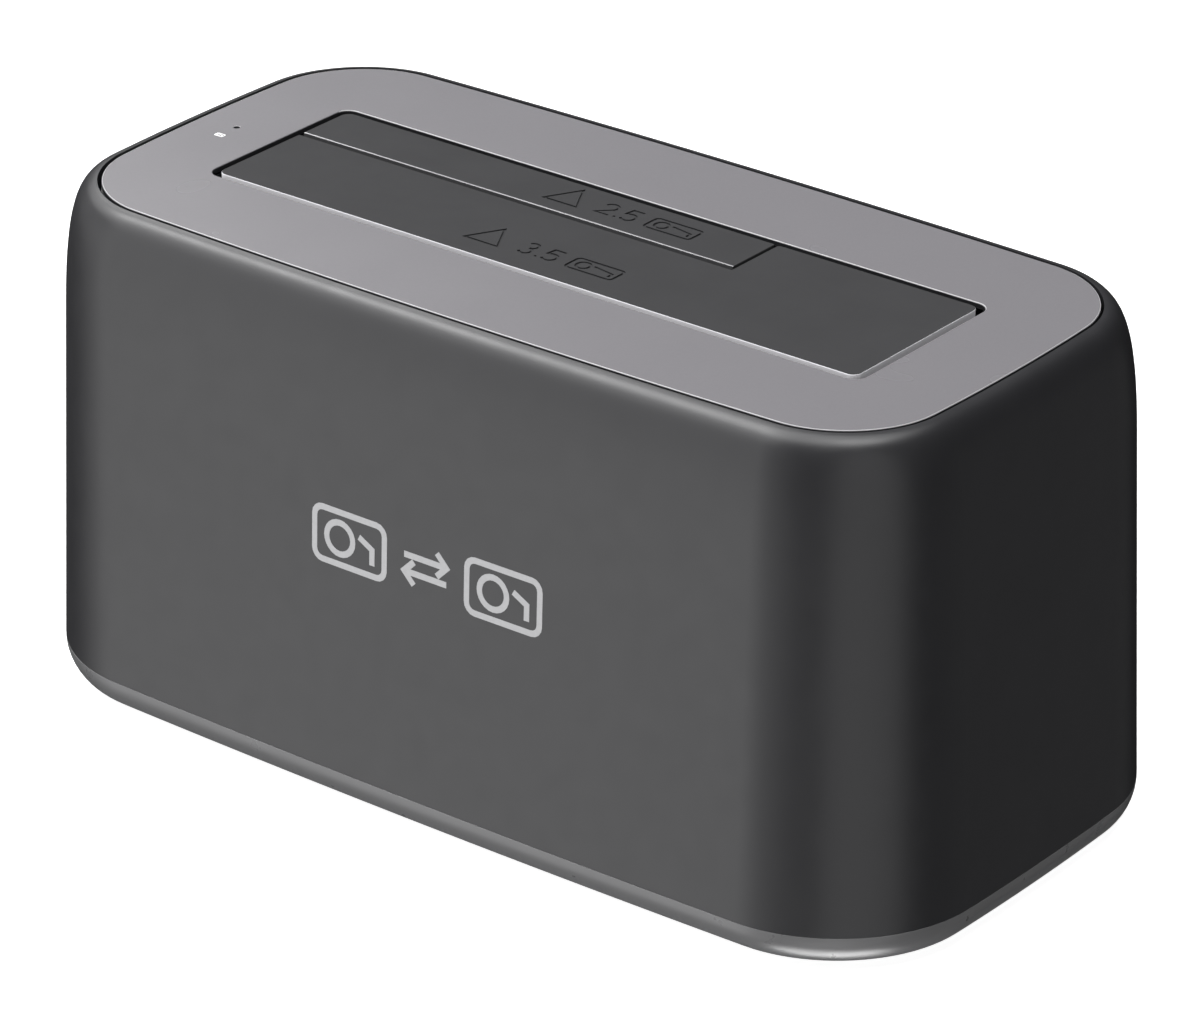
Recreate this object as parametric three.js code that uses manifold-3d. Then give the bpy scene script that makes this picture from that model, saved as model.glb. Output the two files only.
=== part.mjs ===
// Single-bay vertical dock for 2.5 and 3.5 inch drives.
// Millimetres. X runs along the long side, -Y is the front and +Z is up.
// The origin lies on the resting surface, under the middle of the body.
import * as THREE from 'three';
import { mergeVertices } from 'three/addons/utils/BufferGeometryUtils.js';
import Module from 'manifold-3d';

const wasm = await Module();
wasm.setup();

// ---- driving dimensions -------------------------------------------------

// Body, measured at the top edge; it grows by DRAFT for each millimetre down.
const TOP_Z = 70.7;
const HALF_LENGTH = 69.7;
const HALF_DEPTH = 34.5;
const CORNER_RADIUS = 17.1;
const LONG_BOW = 1.36;
const SHORT_BOW = 1.31;
const DRAFT = 0.0372;
const WALL = 2.4;
const GAP = 0.3;

// Base tray and feet.
const FOOT_PROUD = 1.0;
const BASE_HEIGHT = 4.6;
const BASE_INSET = 3.5;
const BASE_TOP = FOOT_PROUD + BASE_HEIGHT;
const BODY_DEPTH = TOP_Z - BASE_TOP;
const BOTTOM_GROW = DRAFT * BODY_DEPTH;
const TRAY_FLOOR = 3.0;
const TRAY_LIP_TOP = 7.6;
const FOOT_RADIUS = 5.0;
const CORNER_POST = [55, 22.5];
const VENT = { rows: 7, pitch: 5, halfLength: 14, halfWidth: 0.9 };

// Top fillet, plate and drive slot.
const RIM_INSET = 4.13;
const PLATE_INSET = 4.43;
const PLATE_THICKNESS = 0.8;
const SLOT_LENGTH = 104.5;
const SLOT_DEPTH = 28.0;
const SLOT_RADIUS = 1.9;
const LED_X = -59.3;
const LED_HOLE_RADIUS = 0.55;

// Flaps. The small one sits in the back left corner of the large one.
const FLAP_SIDE_GAP = 0.95;
const FLAP_END_GAP = 1.2;
const FLAP_PROUD = 0.1;
const FLAP_THICKNESS = 1.6;
const FLAP_RADIUS = 1.3;
const SMALL_FLAP_RIGHT = 19.8;
const SMALL_FLAP_FRONT = 4.0;
const NEST_SIDE_GAP = 0.55;
const NEST_FRONT_GAP = 1.0;

// Hinges, both under the plate.
const HINGE_Y = 16.0;
const HINGE_DEPTH = 2.6;
const PIN_RADIUS = 0.6;
const KNUCKLE_RADIUS = 1.5;
const KNUCKLE_WIDTH = 9;
const LARGE_KNUCKLES = [-38, 38];
const SMALL_KNUCKLES = [-42, 10];
const LARGE_SPRING_X = -27;
const SMALL_SPRING_X = -20;
const SPRING_COIL_RADIUS = 1.25;
const SPRING_WIRE_RADIUS = 0.25;
const SPRING_LEG = 7;

// Bay frame, which hangs from its flange.
const FLANGE_TOP = TOP_Z - PLATE_THICKNESS - GAP;
const FLANGE_THICKNESS = 2.0;
const BAY_HALF_X = 52.3;
const BAY_HALF_Y = 15.2;
const BAY_WALL = 2.0;
const BAY_FLOOR_TOP = 15.6;
const BAY_FLOOR_THICKNESS = 1.6;
const CHANNEL_OUT = 19.0;
const CHANNEL_DEPTH = 7.0;
const LARGE_CHANNEL = [-47.5, 47.5];
const SMALL_CHANNEL = [-47.5, 17];
const PIN_SEAT = 2;
const FRAME_SCREW = [57.5, 22];

// Electronics.
const BOARD = { x: [-48, 44], y: [-13, 31], z: [6.7, 8.3] };
const PART_Z = BOARD.z[1] + GAP;
const SATA = { x: -30.1, y: 9.7, halfX: 21, halfY: 3.7 };
const IO_FACE_Y = 35.2;
const IO_RECESS = { x: [-36, 40], z: [8, 24.5] };
const IO_PANEL = 2.0;
const USB = { x: 4, width: 12, height: 12.2, depth: 16 };
const JACK = { x: -22, width: 9, height: 11, length: 13, axisHeight: 5.5, barrelRadius: 3.7, boreRadius: 3.15 };
const BUTTON = { x: 30, z: 14.6, radius: 3.4, out: 36.8, length: 4.9, travel: 2 };
const WINDOW_CLEARANCE = 0.4;
const BOARD_SCREWS = [[-44, 26.5], [40, 26.5], [40, -9]];

// Screws: head radius, head height, shank radius and length of the shank.
const BASE_SCREW = [2.6, 1.8, 1.25, 9];
const FRAME_SCREW_SIZE = [2.0, 0.9, 0.95, 7.5];
const BOARD_SCREW = [2.3, 1.4, 1.0, 4.5];
const LED_SCREW = [1.7, 0.9, 0.8, 5];
const PILOT_RADIUS = 1.3;
const SCREW_CLEARANCE = 1.6;

// Facets.
const CORNER_STEPS = 6;
const LONG_STEPS = 6;
const SHORT_STEPS = 4;
const FILLET_STEPS = 6;
const ROUND = 20;
const SMALL_ROUND = 12;

// ---- solids --------------------------------------------------------------

function toSolid(geometry) {
  geometry.deleteAttribute('normal');
  geometry.deleteAttribute('uv');
  const merged = mergeVertices(geometry, 1e-5);
  return new wasm.Manifold(new wasm.Mesh({
    numProp: 3,
    vertProperties: new Float32Array(merged.attributes.position.array),
    triVerts: new Uint32Array(merged.index.array),
  }));
}

function toGeometry(solid) {
  const mesh = solid.getMesh();
  const geometry = new THREE.BufferGeometry();
  geometry.setAttribute('position', new THREE.BufferAttribute(mesh.vertProperties, 3));
  geometry.setIndex(new THREE.BufferAttribute(mesh.triVerts, 1));
  geometry.computeVertexNormals();
  return geometry;
}

const joined = (solids) => solids.reduce((whole, piece) => whole.add(piece));
const cutBy = (solid, cutters) => cutters.reduce((left, cutter) => left.subtract(cutter), solid);

function block([x0, x1], [y0, y1], [z0, z1]) {
  const geometry = new THREE.BoxGeometry(x1 - x0, y1 - y0, z1 - z0);
  geometry.translate((x0 + x1) / 2, (y0 + y1) / 2, (z0 + z1) / 2);
  return toSolid(geometry);
}

// A cylinder along z through (x, y); rodX and rodY do the same along x and y.
function rodZ(radius, [x, y], [z0, z1], segments = SMALL_ROUND) {
  const geometry = new THREE.CylinderGeometry(radius, radius, z1 - z0, segments);
  geometry.rotateX(Math.PI / 2);
  geometry.translate(x, y, (z0 + z1) / 2);
  return toSolid(geometry);
}

function rodX(radius, [y, z], [x0, x1], segments = SMALL_ROUND) {
  const geometry = new THREE.CylinderGeometry(radius, radius, x1 - x0, segments);
  geometry.rotateZ(Math.PI / 2);
  geometry.translate((x0 + x1) / 2, y, z);
  return toSolid(geometry);
}

function rodY(radius, [x, z], [y0, y1], segments = SMALL_ROUND) {
  const geometry = new THREE.CylinderGeometry(radius, radius, y1 - y0, segments);
  geometry.translate(x, (y0 + y1) / 2, z);
  return toSolid(geometry);
}

// A profile of [radius, height] pairs turned about y; turnedZ does the same about z.
const lathe = (profile, segments) =>
  new THREE.LatheGeometry(profile.map(([radius, height]) => new THREE.Vector2(radius, height)), segments);

const turnedY = (profile, segments = SMALL_ROUND) => toSolid(lathe(profile, segments));

const turnedZ = (profile, segments = SMALL_ROUND) => toSolid(lathe(profile, segments).rotateX(Math.PI / 2));

function prism(shape, [z0, z1], curveSegments = 5) {
  const geometry = new THREE.ExtrudeGeometry(shape, { depth: z1 - z0, bevelEnabled: false, curveSegments });
  geometry.translate(0, 0, z0);
  return toSolid(geometry);
}

// A prism along y; the shape's own y becomes z.
function prismY(shape, [y0, y1]) {
  const geometry = new THREE.ExtrudeGeometry(shape, { depth: y1 - y0, bevelEnabled: false });
  geometry.rotateX(Math.PI / 2);
  geometry.translate(0, y1, 0);
  return toSolid(geometry);
}

// A closed outline through right-angled corners, each given as [x, y, radius].
function roundedOutline(corners, path = new THREE.Shape()) {
  const curve = 1 - 0.5523;
  corners.forEach(([x, y, radius], index) => {
    const here = new THREE.Vector2(x, y);
    const [px, py] = corners[(index + corners.length - 1) % corners.length];
    const [nx, ny] = corners[(index + 1) % corners.length];
    const back = new THREE.Vector2(px, py).sub(here).normalize();
    const ahead = new THREE.Vector2(nx, ny).sub(here).normalize();
    const start = here.clone().addScaledVector(back, radius);
    const end = here.clone().addScaledVector(ahead, radius);
    if (index === 0) path.moveTo(start.x, start.y);
    else path.lineTo(start.x, start.y);
    if (radius === 0) return;
    const first = here.clone().addScaledVector(back, radius * curve);
    const second = here.clone().addScaledVector(ahead, radius * curve);
    path.bezierCurveTo(first.x, first.y, second.x, second.y, end.x, end.y);
  });
  path.closePath();
  return path;
}

function roundedRectangle(halfX, halfY, radius, path) {
  const corners = [[-halfX, -halfY], [halfX, -halfY], [halfX, halfY], [-halfX, halfY]];
  return roundedOutline(corners.map(([x, y]) => [x, y, radius]), path);
}

// The body's outline in plan: round corners joined by slightly bowed sides.
function bodyOutline(grow) {
  const halfX = HALF_LENGTH - SHORT_BOW + grow;
  const halfY = HALF_DEPTH - LONG_BOW + grow;
  const radius = CORNER_RADIUS + grow;
  const corners = [[1, 1], [-1, 1], [-1, -1], [1, -1]];
  const arcs = corners.map(([sx, sy], index) => Array.from({ length: CORNER_STEPS + 1 }, (_, step) => {
    const angle = (index + step / CORNER_STEPS) * Math.PI / 2;
    return new THREE.Vector2(
      sx * (halfX - radius) + radius * Math.cos(angle),
      sy * (halfY - radius) + radius * Math.sin(angle),
    );
  }));
  const points = arcs.flatMap((arc, index) => {
    const from = arc[CORNER_STEPS];
    const to = arcs[(index + 1) % arcs.length][0];
    const steps = index % 2 === 0 ? LONG_STEPS : SHORT_STEPS;
    const side = Array.from({ length: steps - 1 }, (_, step) => from.clone().lerp(to, (step + 1) / steps));
    return [...arc, ...side];
  });
  return points.map(({ x, y }) => new THREE.Vector2(
    x + Math.sign(x) * SHORT_BOW * (1 - (y / halfY) ** 2) * Math.min(1, Math.abs(x) / halfX),
    y + Math.sign(y) * LONG_BOW * (1 - (x / halfX) ** 2) * Math.min(1, Math.abs(y) / halfY),
  ));
}

// A body through a list of [grow, z] rings, which run up the outside first.
// An open list is capped at its first and last ring; a looped one closes on itself.
function ringBody(rings, looped) {
  const outlines = rings.map(([grow, z]) => bodyOutline(grow).map((point) => [point.x, point.y, z]));
  const count = outlines[0].length;
  const positions = outlines.flat(2);
  const index = [];
  const spans = looped ? rings.length : rings.length - 1;
  for (let ring = 0; ring < spans; ring += 1) {
    const lower = ring * count;
    const upper = ((ring + 1) % rings.length) * count;
    for (let i = 0; i < count; i += 1) {
      const j = (i + 1) % count;
      index.push(lower + i, lower + j, upper + j, lower + i, upper + j, upper + i);
    }
  }
  if (!looped) {
    const first = rings.length * count;
    const last = first + 1;
    const lastRing = (rings.length - 1) * count;
    positions.push(0, 0, rings[0][1], 0, 0, rings[rings.length - 1][1]);
    for (let i = 0; i < count; i += 1) {
      const j = (i + 1) % count;
      index.push(first, j, i, last, lastRing + i, lastRing + j);
    }
  }
  const geometry = new THREE.BufferGeometry();
  geometry.setAttribute('position', new THREE.Float32BufferAttribute(positions, 3));
  geometry.setIndex(index);
  return toSolid(geometry);
}

// A cubic curve of [inset, height] points.
function profileCurve(points, steps) {
  const [a, b, c, d] = points.map(([inset, height]) => new THREE.Vector2(inset, height));
  return new THREE.CubicBezierCurve(a, b, c, d).getPoints(steps).map(({ x, y }) => [x, y]);
}

const fourWays = ([x, y]) => [[x, y], [-x, y], [-x, -y], [x, -y]];

// ---- casing ----------------------------------------------------------------

// One leaning sleeve with a soft top edge, a ledge for the bay frame and four posts.
function outerHousing() {
  const fillet = profileCurve([[RIM_INSET, 0], [0.83, 0], [0, 6.4], [0, 16.7]], FILLET_STEPS);
  const outer = fillet.reverse().map(([inset, depth]) => [DRAFT * depth - inset, TOP_Z - depth]);
  const ledgeTop = FLANGE_TOP - FLANGE_THICKNESS - GAP;
  const ledgeInset = 6.6;
  const ledgeThickness = 1.4;
  const shoulder = ledgeTop - ledgeThickness - 4;
  const bottom = BASE_TOP + GAP / 2;
  const sleeve = ringBody([
    [BOTTOM_GROW, bottom],
    ...outer,
    [-RIM_INSET, ledgeTop],
    [-ledgeInset, ledgeTop],
    [-ledgeInset, ledgeTop - ledgeThickness],
    [DRAFT * (TOP_Z - shoulder) - WALL, shoulder],
    [BOTTOM_GROW - WALL, bottom],
  ], true);
  const postBottom = TRAY_LIP_TOP + 0.4;
  const postTop = 24;
  const postRadius = 3.4;
  const ribHalf = 0.9;
  const wallReach = 33.9;
  const posts = fourWays(CORNER_POST).flatMap(([x, y]) => {
    const wallY = Math.sign(y) * wallReach;
    return [
      rodZ(postRadius, [x, y], [postBottom, postTop]),
      block([x - ribHalf, x + ribHalf], [Math.min(y, wallY), Math.max(y, wallY)], [postBottom, postTop]),
    ];
  });
  const bossRadius = 3;
  const bossLength = 10;
  const bossSpan = [ledgeTop - bossLength, ledgeTop];
  const frameBosses = fourWays(FRAME_SCREW).map((at) => rodZ(bossRadius, at, bossSpan));
  const screwHoles = [
    ...fourWays(CORNER_POST).map((at) => rodZ(SCREW_CLEARANCE, at, [postBottom - 1, postTop - 7])),
    ...fourWays(FRAME_SCREW).map((at) => rodZ(PILOT_RADIUS, at, [ledgeTop - bossLength + 2, ledgeTop + 1])),
  ];
  const panel = block(IO_RECESS.x, [IO_FACE_Y - IO_PANEL, IO_FACE_Y], IO_RECESS.z);
  const recess = block(IO_RECESS.x, [IO_FACE_Y, IO_FACE_Y + 5], IO_RECESS.z);
  const whole = joined([sleeve, ...posts, ...frameBosses, panel]);
  return cutBy(whole, [...screwHoles, recess, ...ioWindows()]);
}

// Holes in the rear panel for the socket, the jack and the button.
function ioWindows() {
  const through = [IO_FACE_Y - IO_PANEL - 1, IO_FACE_Y + 1];
  const usbBottom = PART_Z - GAP;
  const usbTop = usbBottom + USB.height + 2 * WINDOW_CLEARANCE;
  const usbHalf = USB.width / 2 + WINDOW_CLEARANCE;
  return [
    block([USB.x - usbHalf, USB.x + usbHalf], through, [usbBottom, usbTop]),
    rodY(JACK.barrelRadius + WINDOW_CLEARANCE, [JACK.x, PART_Z + JACK.axisHeight], through, ROUND),
    rodY(BUTTON.radius + WINDOW_CLEARANCE, [BUTTON.x, BUTTON.z], through, ROUND),
  ];
}

function topPlate() {
  const shape = new THREE.Shape(bodyOutline(-PLATE_INSET));
  shape.holes.push(roundedRectangle(SLOT_LENGTH / 2, SLOT_DEPTH / 2, SLOT_RADIUS, new THREE.Path()));
  const plate = prism(shape, [TOP_Z - PLATE_THICKNESS, TOP_Z]);
  const ledHole = rodZ(LED_HOLE_RADIUS, [LED_X, 0], [TOP_Z - 2, TOP_Z + 1]);
  return plate.subtract(ledHole);
}

// Shallow tray whose rim curves in below the sleeve; its lip stands inside the sleeve.
function baseTray() {
  const rim = profileCurve([[BASE_INSET, 0], [1.9, 0], [0, BASE_HEIGHT - 2.1], [0, BASE_HEIGHT - GAP / 2]], 5);
  const outer = rim.map(([inset, height]) => [BOTTOM_GROW - inset, FOOT_PROUD + height]);
  const lipOuter = BOTTOM_GROW - WALL - GAP;
  const lipThickness = 1.6;
  const lipInner = lipOuter - lipThickness;
  const shell = ringBody([
    ...outer,
    [lipOuter, BASE_TOP - GAP / 2],
    [lipOuter, TRAY_LIP_TOP],
    [lipInner, TRAY_LIP_TOP],
    [lipInner, TRAY_FLOOR],
  ], false);
  const rooted = TRAY_FLOOR - 0.5;
  const postRadius = 4.6;
  const standoffRadius = 3;
  const pocketDepth = 1.2;
  const headRoom = { radius: 3.0, top: 4.6 };
  const posts = fourWays(CORNER_POST).map((at) => rodZ(postRadius, at, [rooted, TRAY_LIP_TOP + 0.1]));
  const standoffs = BOARD_SCREWS.map((at) => rodZ(standoffRadius, at, [rooted, BOARD.z[0] - GAP]));
  const footPockets = fourWays(CORNER_POST).flatMap((at) => [
    rodZ(FOOT_RADIUS + GAP, at, [0, FOOT_PROUD + pocketDepth], ROUND),
    rodZ(headRoom.radius, at, [0, headRoom.top]),
    rodZ(SCREW_CLEARANCE, at, [0, TRAY_LIP_TOP + 1]),
  ]);
  const screwHoles = BOARD_SCREWS.map((at) => rodZ(PILOT_RADIUS, at, [TRAY_FLOOR, BOARD.z[0]]));
  const ventX = [-VENT.halfLength, VENT.halfLength];
  const vents = Array.from({ length: VENT.rows }, (_, row) => {
    const y = (row - (VENT.rows - 1) / 2) * VENT.pitch;
    return block(ventX, [y - VENT.halfWidth, y + VENT.halfWidth], [0, TRAY_FLOOR + 1]);
  });
  return cutBy(joined([shell, ...posts, ...standoffs]), [...footPockets, ...screwHoles, ...vents]);
}

function foot() {
  const edge = 0.4;
  const height = 1.9;
  const profile = [[0, 0], [FOOT_RADIUS - edge, 0], [FOOT_RADIUS, edge], [FOOT_RADIUS, height], [0, height]];
  return turnedZ(profile, ROUND);
}

// ---- bay frame ---------------------------------------------------------------

// Flange, drive well, hinge channels and guide ribs in one moulding.
function bayFrame() {
  const flangeBottom = FLANGE_TOP - FLANGE_THICKNESS;
  const wellBottom = BAY_FLOOR_TOP - BAY_FLOOR_THICKNESS;
  const channelBottom = TOP_Z - CHANNEL_DEPTH - 6;
  const outX = BAY_HALF_X + BAY_WALL;
  const outY = BAY_HALF_Y + BAY_WALL;
  const channelEnds = 51;
  const channelWall = CHANNEL_OUT + 1.6;
  const body = joined([
    prism(new THREE.Shape(bodyOutline(-PLATE_INSET)), [flangeBottom, FLANGE_TOP]),
    block([-outX, outX], [-outY, outY], [wellBottom, flangeBottom + 0.5]),
    block([-channelEnds, channelEnds], [-channelWall, -BAY_HALF_Y], [channelBottom, flangeBottom + 0.5]),
    block([-channelEnds, channelEnds], [BAY_HALF_Y, channelWall], [channelBottom, flangeBottom + 0.5]),
    ...ledPosts(),
  ]);
  const well = block([-BAY_HALF_X, BAY_HALF_X], [-BAY_HALF_Y, BAY_HALF_Y], [BAY_FLOOR_TOP, TOP_Z]);
  const hollow = cutBy(body, [well, ...hingeChannels(), ...pinHoles(), ...frameHoles()]);
  return joined([hollow, ...guideRibs()]);
}

// Long pockets for the hinge pins, with a deeper one at each spring.
function hingeChannels() {
  const floor = TOP_Z - CHANNEL_DEPTH;
  const front = [-CHANNEL_OUT, -BAY_HALF_Y + 0.7];
  const back = [BAY_HALF_Y - 0.7, CHANNEL_OUT];
  const springFloor = TOP_Z - HINGE_DEPTH - SPRING_LEG - 1;
  const springBay = (x) => [x - 3.5, x + 3.5];
  return [
    block(LARGE_CHANNEL, front, [floor, TOP_Z]),
    block(SMALL_CHANNEL, back, [floor, TOP_Z]),
    block(springBay(LARGE_SPRING_X), front, [springFloor, TOP_Z]),
    block(springBay(SMALL_SPRING_X), back, [springFloor, TOP_Z]),
  ];
}

function pinHoles() {
  const z = TOP_Z - HINGE_DEPTH;
  const held = ([left, right]) => [left - PIN_SEAT, right + PIN_SEAT];
  return [
    rodX(PIN_RADIUS + GAP, [-HINGE_Y, z], held(LARGE_CHANNEL)),
    rodX(PIN_RADIUS + GAP, [HINGE_Y, z], held(SMALL_CHANNEL)),
  ];
}

// Screw holes with counterbores, the light pipe's hole and the connector's window.
function frameHoles() {
  const window = 0.6;
  const headHole = { radius: 2.4, depth: 1.3 };
  const pipeHole = 1.8;
  return [
    ...fourWays(FRAME_SCREW).flatMap((at) => [
      rodZ(PILOT_RADIUS, at, [FLANGE_TOP - 5, FLANGE_TOP + 1]),
      rodZ(headHole.radius, at, [FLANGE_TOP - headHole.depth, FLANGE_TOP + 1]),
    ]),
    rodZ(pipeHole, [LED_X, 0], [FLANGE_TOP - 5, FLANGE_TOP + 1]),
    block([SATA.x - SATA.halfX - window, SATA.x + SATA.halfX + window],
      [SATA.y - SATA.halfY - window, SATA.y + SATA.halfY + window],
      [BAY_FLOOR_TOP - 5, BAY_FLOOR_TOP + 1]),
    ...ledPostHoles(),
  ];
}

const LED_POST_Y = [-4.4, 4.4];
const LED_POST_X = -60.5;
const LED_BOARD_TOP = TOP_Z - 9.4;

function ledPosts() {
  return LED_POST_Y.map((y) => rodZ(1.9, [LED_POST_X, y], [LED_BOARD_TOP + GAP, FLANGE_TOP - 1]));
}

function ledPostHoles() {
  return LED_POST_Y.map((y) => rodZ(1.1, [LED_POST_X, y], [LED_BOARD_TOP - 1, LED_BOARD_TOP + 5]));
}

// Ribs that centre a drive below the hanging flaps.
function guideRibs() {
  const rooted = 0.5;
  const bottom = BAY_FLOOR_TOP - rooted;
  const ribTop = 35;
  const endX = 51.2;
  const frontY = -13.4;
  const backY = 13.8;
  const ends = [-9, 9].flatMap((y) => [
    block([-BAY_HALF_X - rooted, -endX], [y - 1.2, y + 1.2], [bottom, ribTop]),
    block([endX, BAY_HALF_X + rooted], [y - 1.2, y + 1.2], [bottom, ribTop]),
  ]);
  const sides = [-36, -12, 12, 36].flatMap((x) => [
    block([x - 1, x + 1], [-BAY_HALF_Y - rooted, frontY], [bottom, ribTop]),
    block([x - 1, x + 1], [backY, BAY_HALF_Y + rooted], [BAY_FLOOR_TOP + 0.4, ribTop]),
  ]);
  return [...ends, ...sides];
}

// ---- flaps -------------------------------------------------------------------

const FLAP_TOP = TOP_Z + FLAP_PROUD;
const FLAP_BOTTOM = FLAP_TOP - FLAP_THICKNESS;
const FLAP_X = SLOT_LENGTH / 2 - FLAP_SIDE_GAP;
const FLAP_Y = SLOT_DEPTH / 2 - FLAP_END_GAP;

// Arms that reach under the plate and end in a barrel round the pin.
// side is -1 for a hinge along the front and 1 for one along the back.
function knuckles(places, side) {
  const z = TOP_Z - HINGE_DEPTH;
  const armTop = z + 1.3;
  const armBottom = z - 0.1;
  return places.flatMap((x) => {
    const width = [x - KNUCKLE_WIDTH / 2, x + KNUCKLE_WIDTH / 2];
    const reach = side < 0 ? [-HINGE_Y, -FLAP_Y + 0.8] : [FLAP_Y - 0.8, HINGE_Y];
    return [rodX(KNUCKLE_RADIUS, [side * HINGE_Y, z], width), block(width, reach, [armBottom, armTop])];
  });
}

function knuckleBores(places, side) {
  const z = TOP_Z - HINGE_DEPTH;
  const bore = PIN_RADIUS + GAP;
  return places.map((x) => rodX(bore, [side * HINGE_Y, z], [x - KNUCKLE_WIDTH, x + KNUCKLE_WIDTH]));
}

// L-shaped cover for the whole slot, cut away where the small flap lies.
function largeFlap() {
  const inner = SMALL_FLAP_RIGHT + NEST_SIDE_GAP;
  const nest = SMALL_FLAP_FRONT - NEST_FRONT_GAP;
  const slab = prism(roundedOutline([
    [-FLAP_X, -FLAP_Y, FLAP_RADIUS],
    [FLAP_X, -FLAP_Y, FLAP_RADIUS],
    [FLAP_X, FLAP_Y, FLAP_RADIUS],
    [inner, FLAP_Y, 0.5],
    [inner, nest, 0],
    [-FLAP_X, nest, 0.3],
  ]), [FLAP_BOTTOM, FLAP_TOP]);
  const lip = { x: [26, 46], reach: 1.7, thickness: 0.4 };
  const stopLip = block(lip.x, [FLAP_Y - 1, FLAP_Y + lip.reach], [FLAP_BOTTOM, FLAP_BOTTOM + lip.thickness]);
  const whole = joined([slab, stopLip, ...knuckles(LARGE_KNUCKLES, -1)]);
  return cutBy(whole, knuckleBores(LARGE_KNUCKLES, -1));
}

function smallFlap() {
  const slab = prism(roundedOutline([
    [-FLAP_X, SMALL_FLAP_FRONT, 0.3],
    [SMALL_FLAP_RIGHT, SMALL_FLAP_FRONT, 0],
    [SMALL_FLAP_RIGHT, FLAP_Y, 0.3],
    [-FLAP_X, FLAP_Y, FLAP_RADIUS],
  ]), [FLAP_BOTTOM, FLAP_TOP]);
  return cutBy(joined([slab, ...knuckles(SMALL_KNUCKLES, 1)]), knuckleBores(SMALL_KNUCKLES, 1));
}

// A pin that reaches into its seats at both ends of a channel.
function hingePin([left, right]) {
  return rodX(PIN_RADIUS, [0, 0], [left - PIN_SEAT + 0.5, right + PIN_SEAT - 0.5]);
}

// Wire path of a torsion spring: a coil round x, then a straight leg along +y.
class SpringPath extends THREE.Curve {
  getPoint(t) {
    const turns = 4;
    const pitch = 0.75;
    const coilLength = 2 * Math.PI * SPRING_COIL_RADIUS * turns;
    const along = t * (coilLength + SPRING_LEG);
    if (along > coilLength) {
      return new THREE.Vector3(turns * pitch / 2, along - coilLength, -SPRING_COIL_RADIUS);
    }
    const angle = along / SPRING_COIL_RADIUS - Math.PI / 2;
    return new THREE.Vector3(
      pitch * turns * (along / coilLength - 0.5),
      SPRING_COIL_RADIUS * Math.cos(angle),
      SPRING_COIL_RADIUS * Math.sin(angle),
    );
  }
}

function torsionSpring() {
  const wire = new THREE.Shape();
  wire.absarc(0, 0, SPRING_WIRE_RADIUS, 0, 2 * Math.PI);
  const sweep = { steps: 56, extrudePath: new SpringPath(), curveSegments: 3 };
  return toSolid(new THREE.ExtrudeGeometry(wire, sweep));
}

// ---- electronics ---------------------------------------------------------------

function mainBoard() {
  const board = block(BOARD.x, BOARD.y, BOARD.z);
  const holes = BOARD_SCREWS.map((at) => rodZ(1.4, at, [BOARD.z[0] - 1, BOARD.z[1] + 1]));
  return cutBy(board, holes);
}

const SATA_SLOTS = [{ x: [-16.6, -6.1] }, { x: [-3.6, 17.2] }];
const SATA_SLOT_Y = [-0.8, 1.1];
const SATA_SLOT_BOTTOM = 6;
const SATA_TOP = 12;

// Upright receptacle with an L-shaped slot for signal and another for power.
function sataConnector() {
  const base = block([-SATA.halfX, SATA.halfX], [-SATA.halfY, SATA.halfY], [0, 5]);
  const tower = block([2.1 - SATA.halfX, SATA.halfX - 2.1], [1 - SATA.halfY, SATA.halfY - 1], [4, SATA_TOP]);
  const slots = SATA_SLOTS.flatMap(({ x }) => [
    block(x, SATA_SLOT_Y, [SATA_SLOT_BOTTOM, SATA_TOP + 1]),
    block([x[0], x[0] + 1.5], [SATA_SLOT_Y[0] - 1.1, SATA_SLOT_Y[1]], [SATA_SLOT_BOTTOM, SATA_TOP + 1]),
  ]);
  return cutBy(base.add(tower), slots);
}

// Row of contact blades on one carrier strip; they lie along one wall of a slot.
function sataContacts(count, slot) {
  const pitch = 1.27;
  const bottom = SATA_SLOT_BOTTOM + 0.1;
  const back = SATA_SLOT_Y[1] - 0.1;
  const middle = (slot.x[0] + slot.x[1]) / 2;
  const strip = block([slot.x[0] + 0.4, slot.x[1] - 0.4], [back - 0.4, back], [bottom, bottom + 0.5]);
  const blades = Array.from({ length: count }, (_, i) => {
    const x = middle + (i - (count - 1) / 2) * pitch;
    return block([x - 0.3, x + 0.3], [back - 0.25, back], [bottom, SATA_TOP - 0.8]);
  });
  return joined([strip, ...blades]);
}

// Outline of the socket's opening: a wide lower part with cut corners and a narrow upper part.
function usbOpening() {
  const points = [
    [-4.25, 1.2], [4.25, 1.2], [4.25, 6.4], [3.3, 7.6], [2.9, 7.6], [2.9, 10.9],
    [-2.9, 10.9], [-2.9, 7.6], [-3.3, 7.6], [-4.25, 6.4],
  ];
  return new THREE.Shape(points.map(([x, z]) => new THREE.Vector2(x, z)));
}

// Socket shell, open towards +y, with its mouth at y = 0.
function usbShell() {
  const shell = block([-USB.width / 2, USB.width / 2], [-USB.depth, 0], [0, USB.height]);
  return shell.subtract(prismY(usbOpening(), [3 - USB.depth, 1]));
}

function usbTongue() {
  const back = 3.4 - USB.depth;
  const lower = block([-2.8, 2.8], [back, -2.5], [2.9, 5.9]);
  const link = block([-1.6, 1.6], [back, back + 1], [5, 9]);
  const upper = block([-2.2, 2.2], [back, -3.5], [8.7, 9.5]);
  return joined([lower, link, upper]);
}

function dcJack() {
  const axis = [0, JACK.axisHeight];
  const body = joined([
    block([-JACK.width / 2, JACK.width / 2], [-JACK.length, -2.4], [0, JACK.height]),
    rodY(JACK.barrelRadius, axis, [-3, 0], ROUND),
  ]);
  return body.subtract(rodY(JACK.boreRadius, axis, [3 - JACK.length, 1], ROUND));
}

function dcPin() {
  return turnedY([[0, 0], [1.05, 0], [1.05, 7.4], [0.6, 8], [0, 8]]);
}

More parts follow.
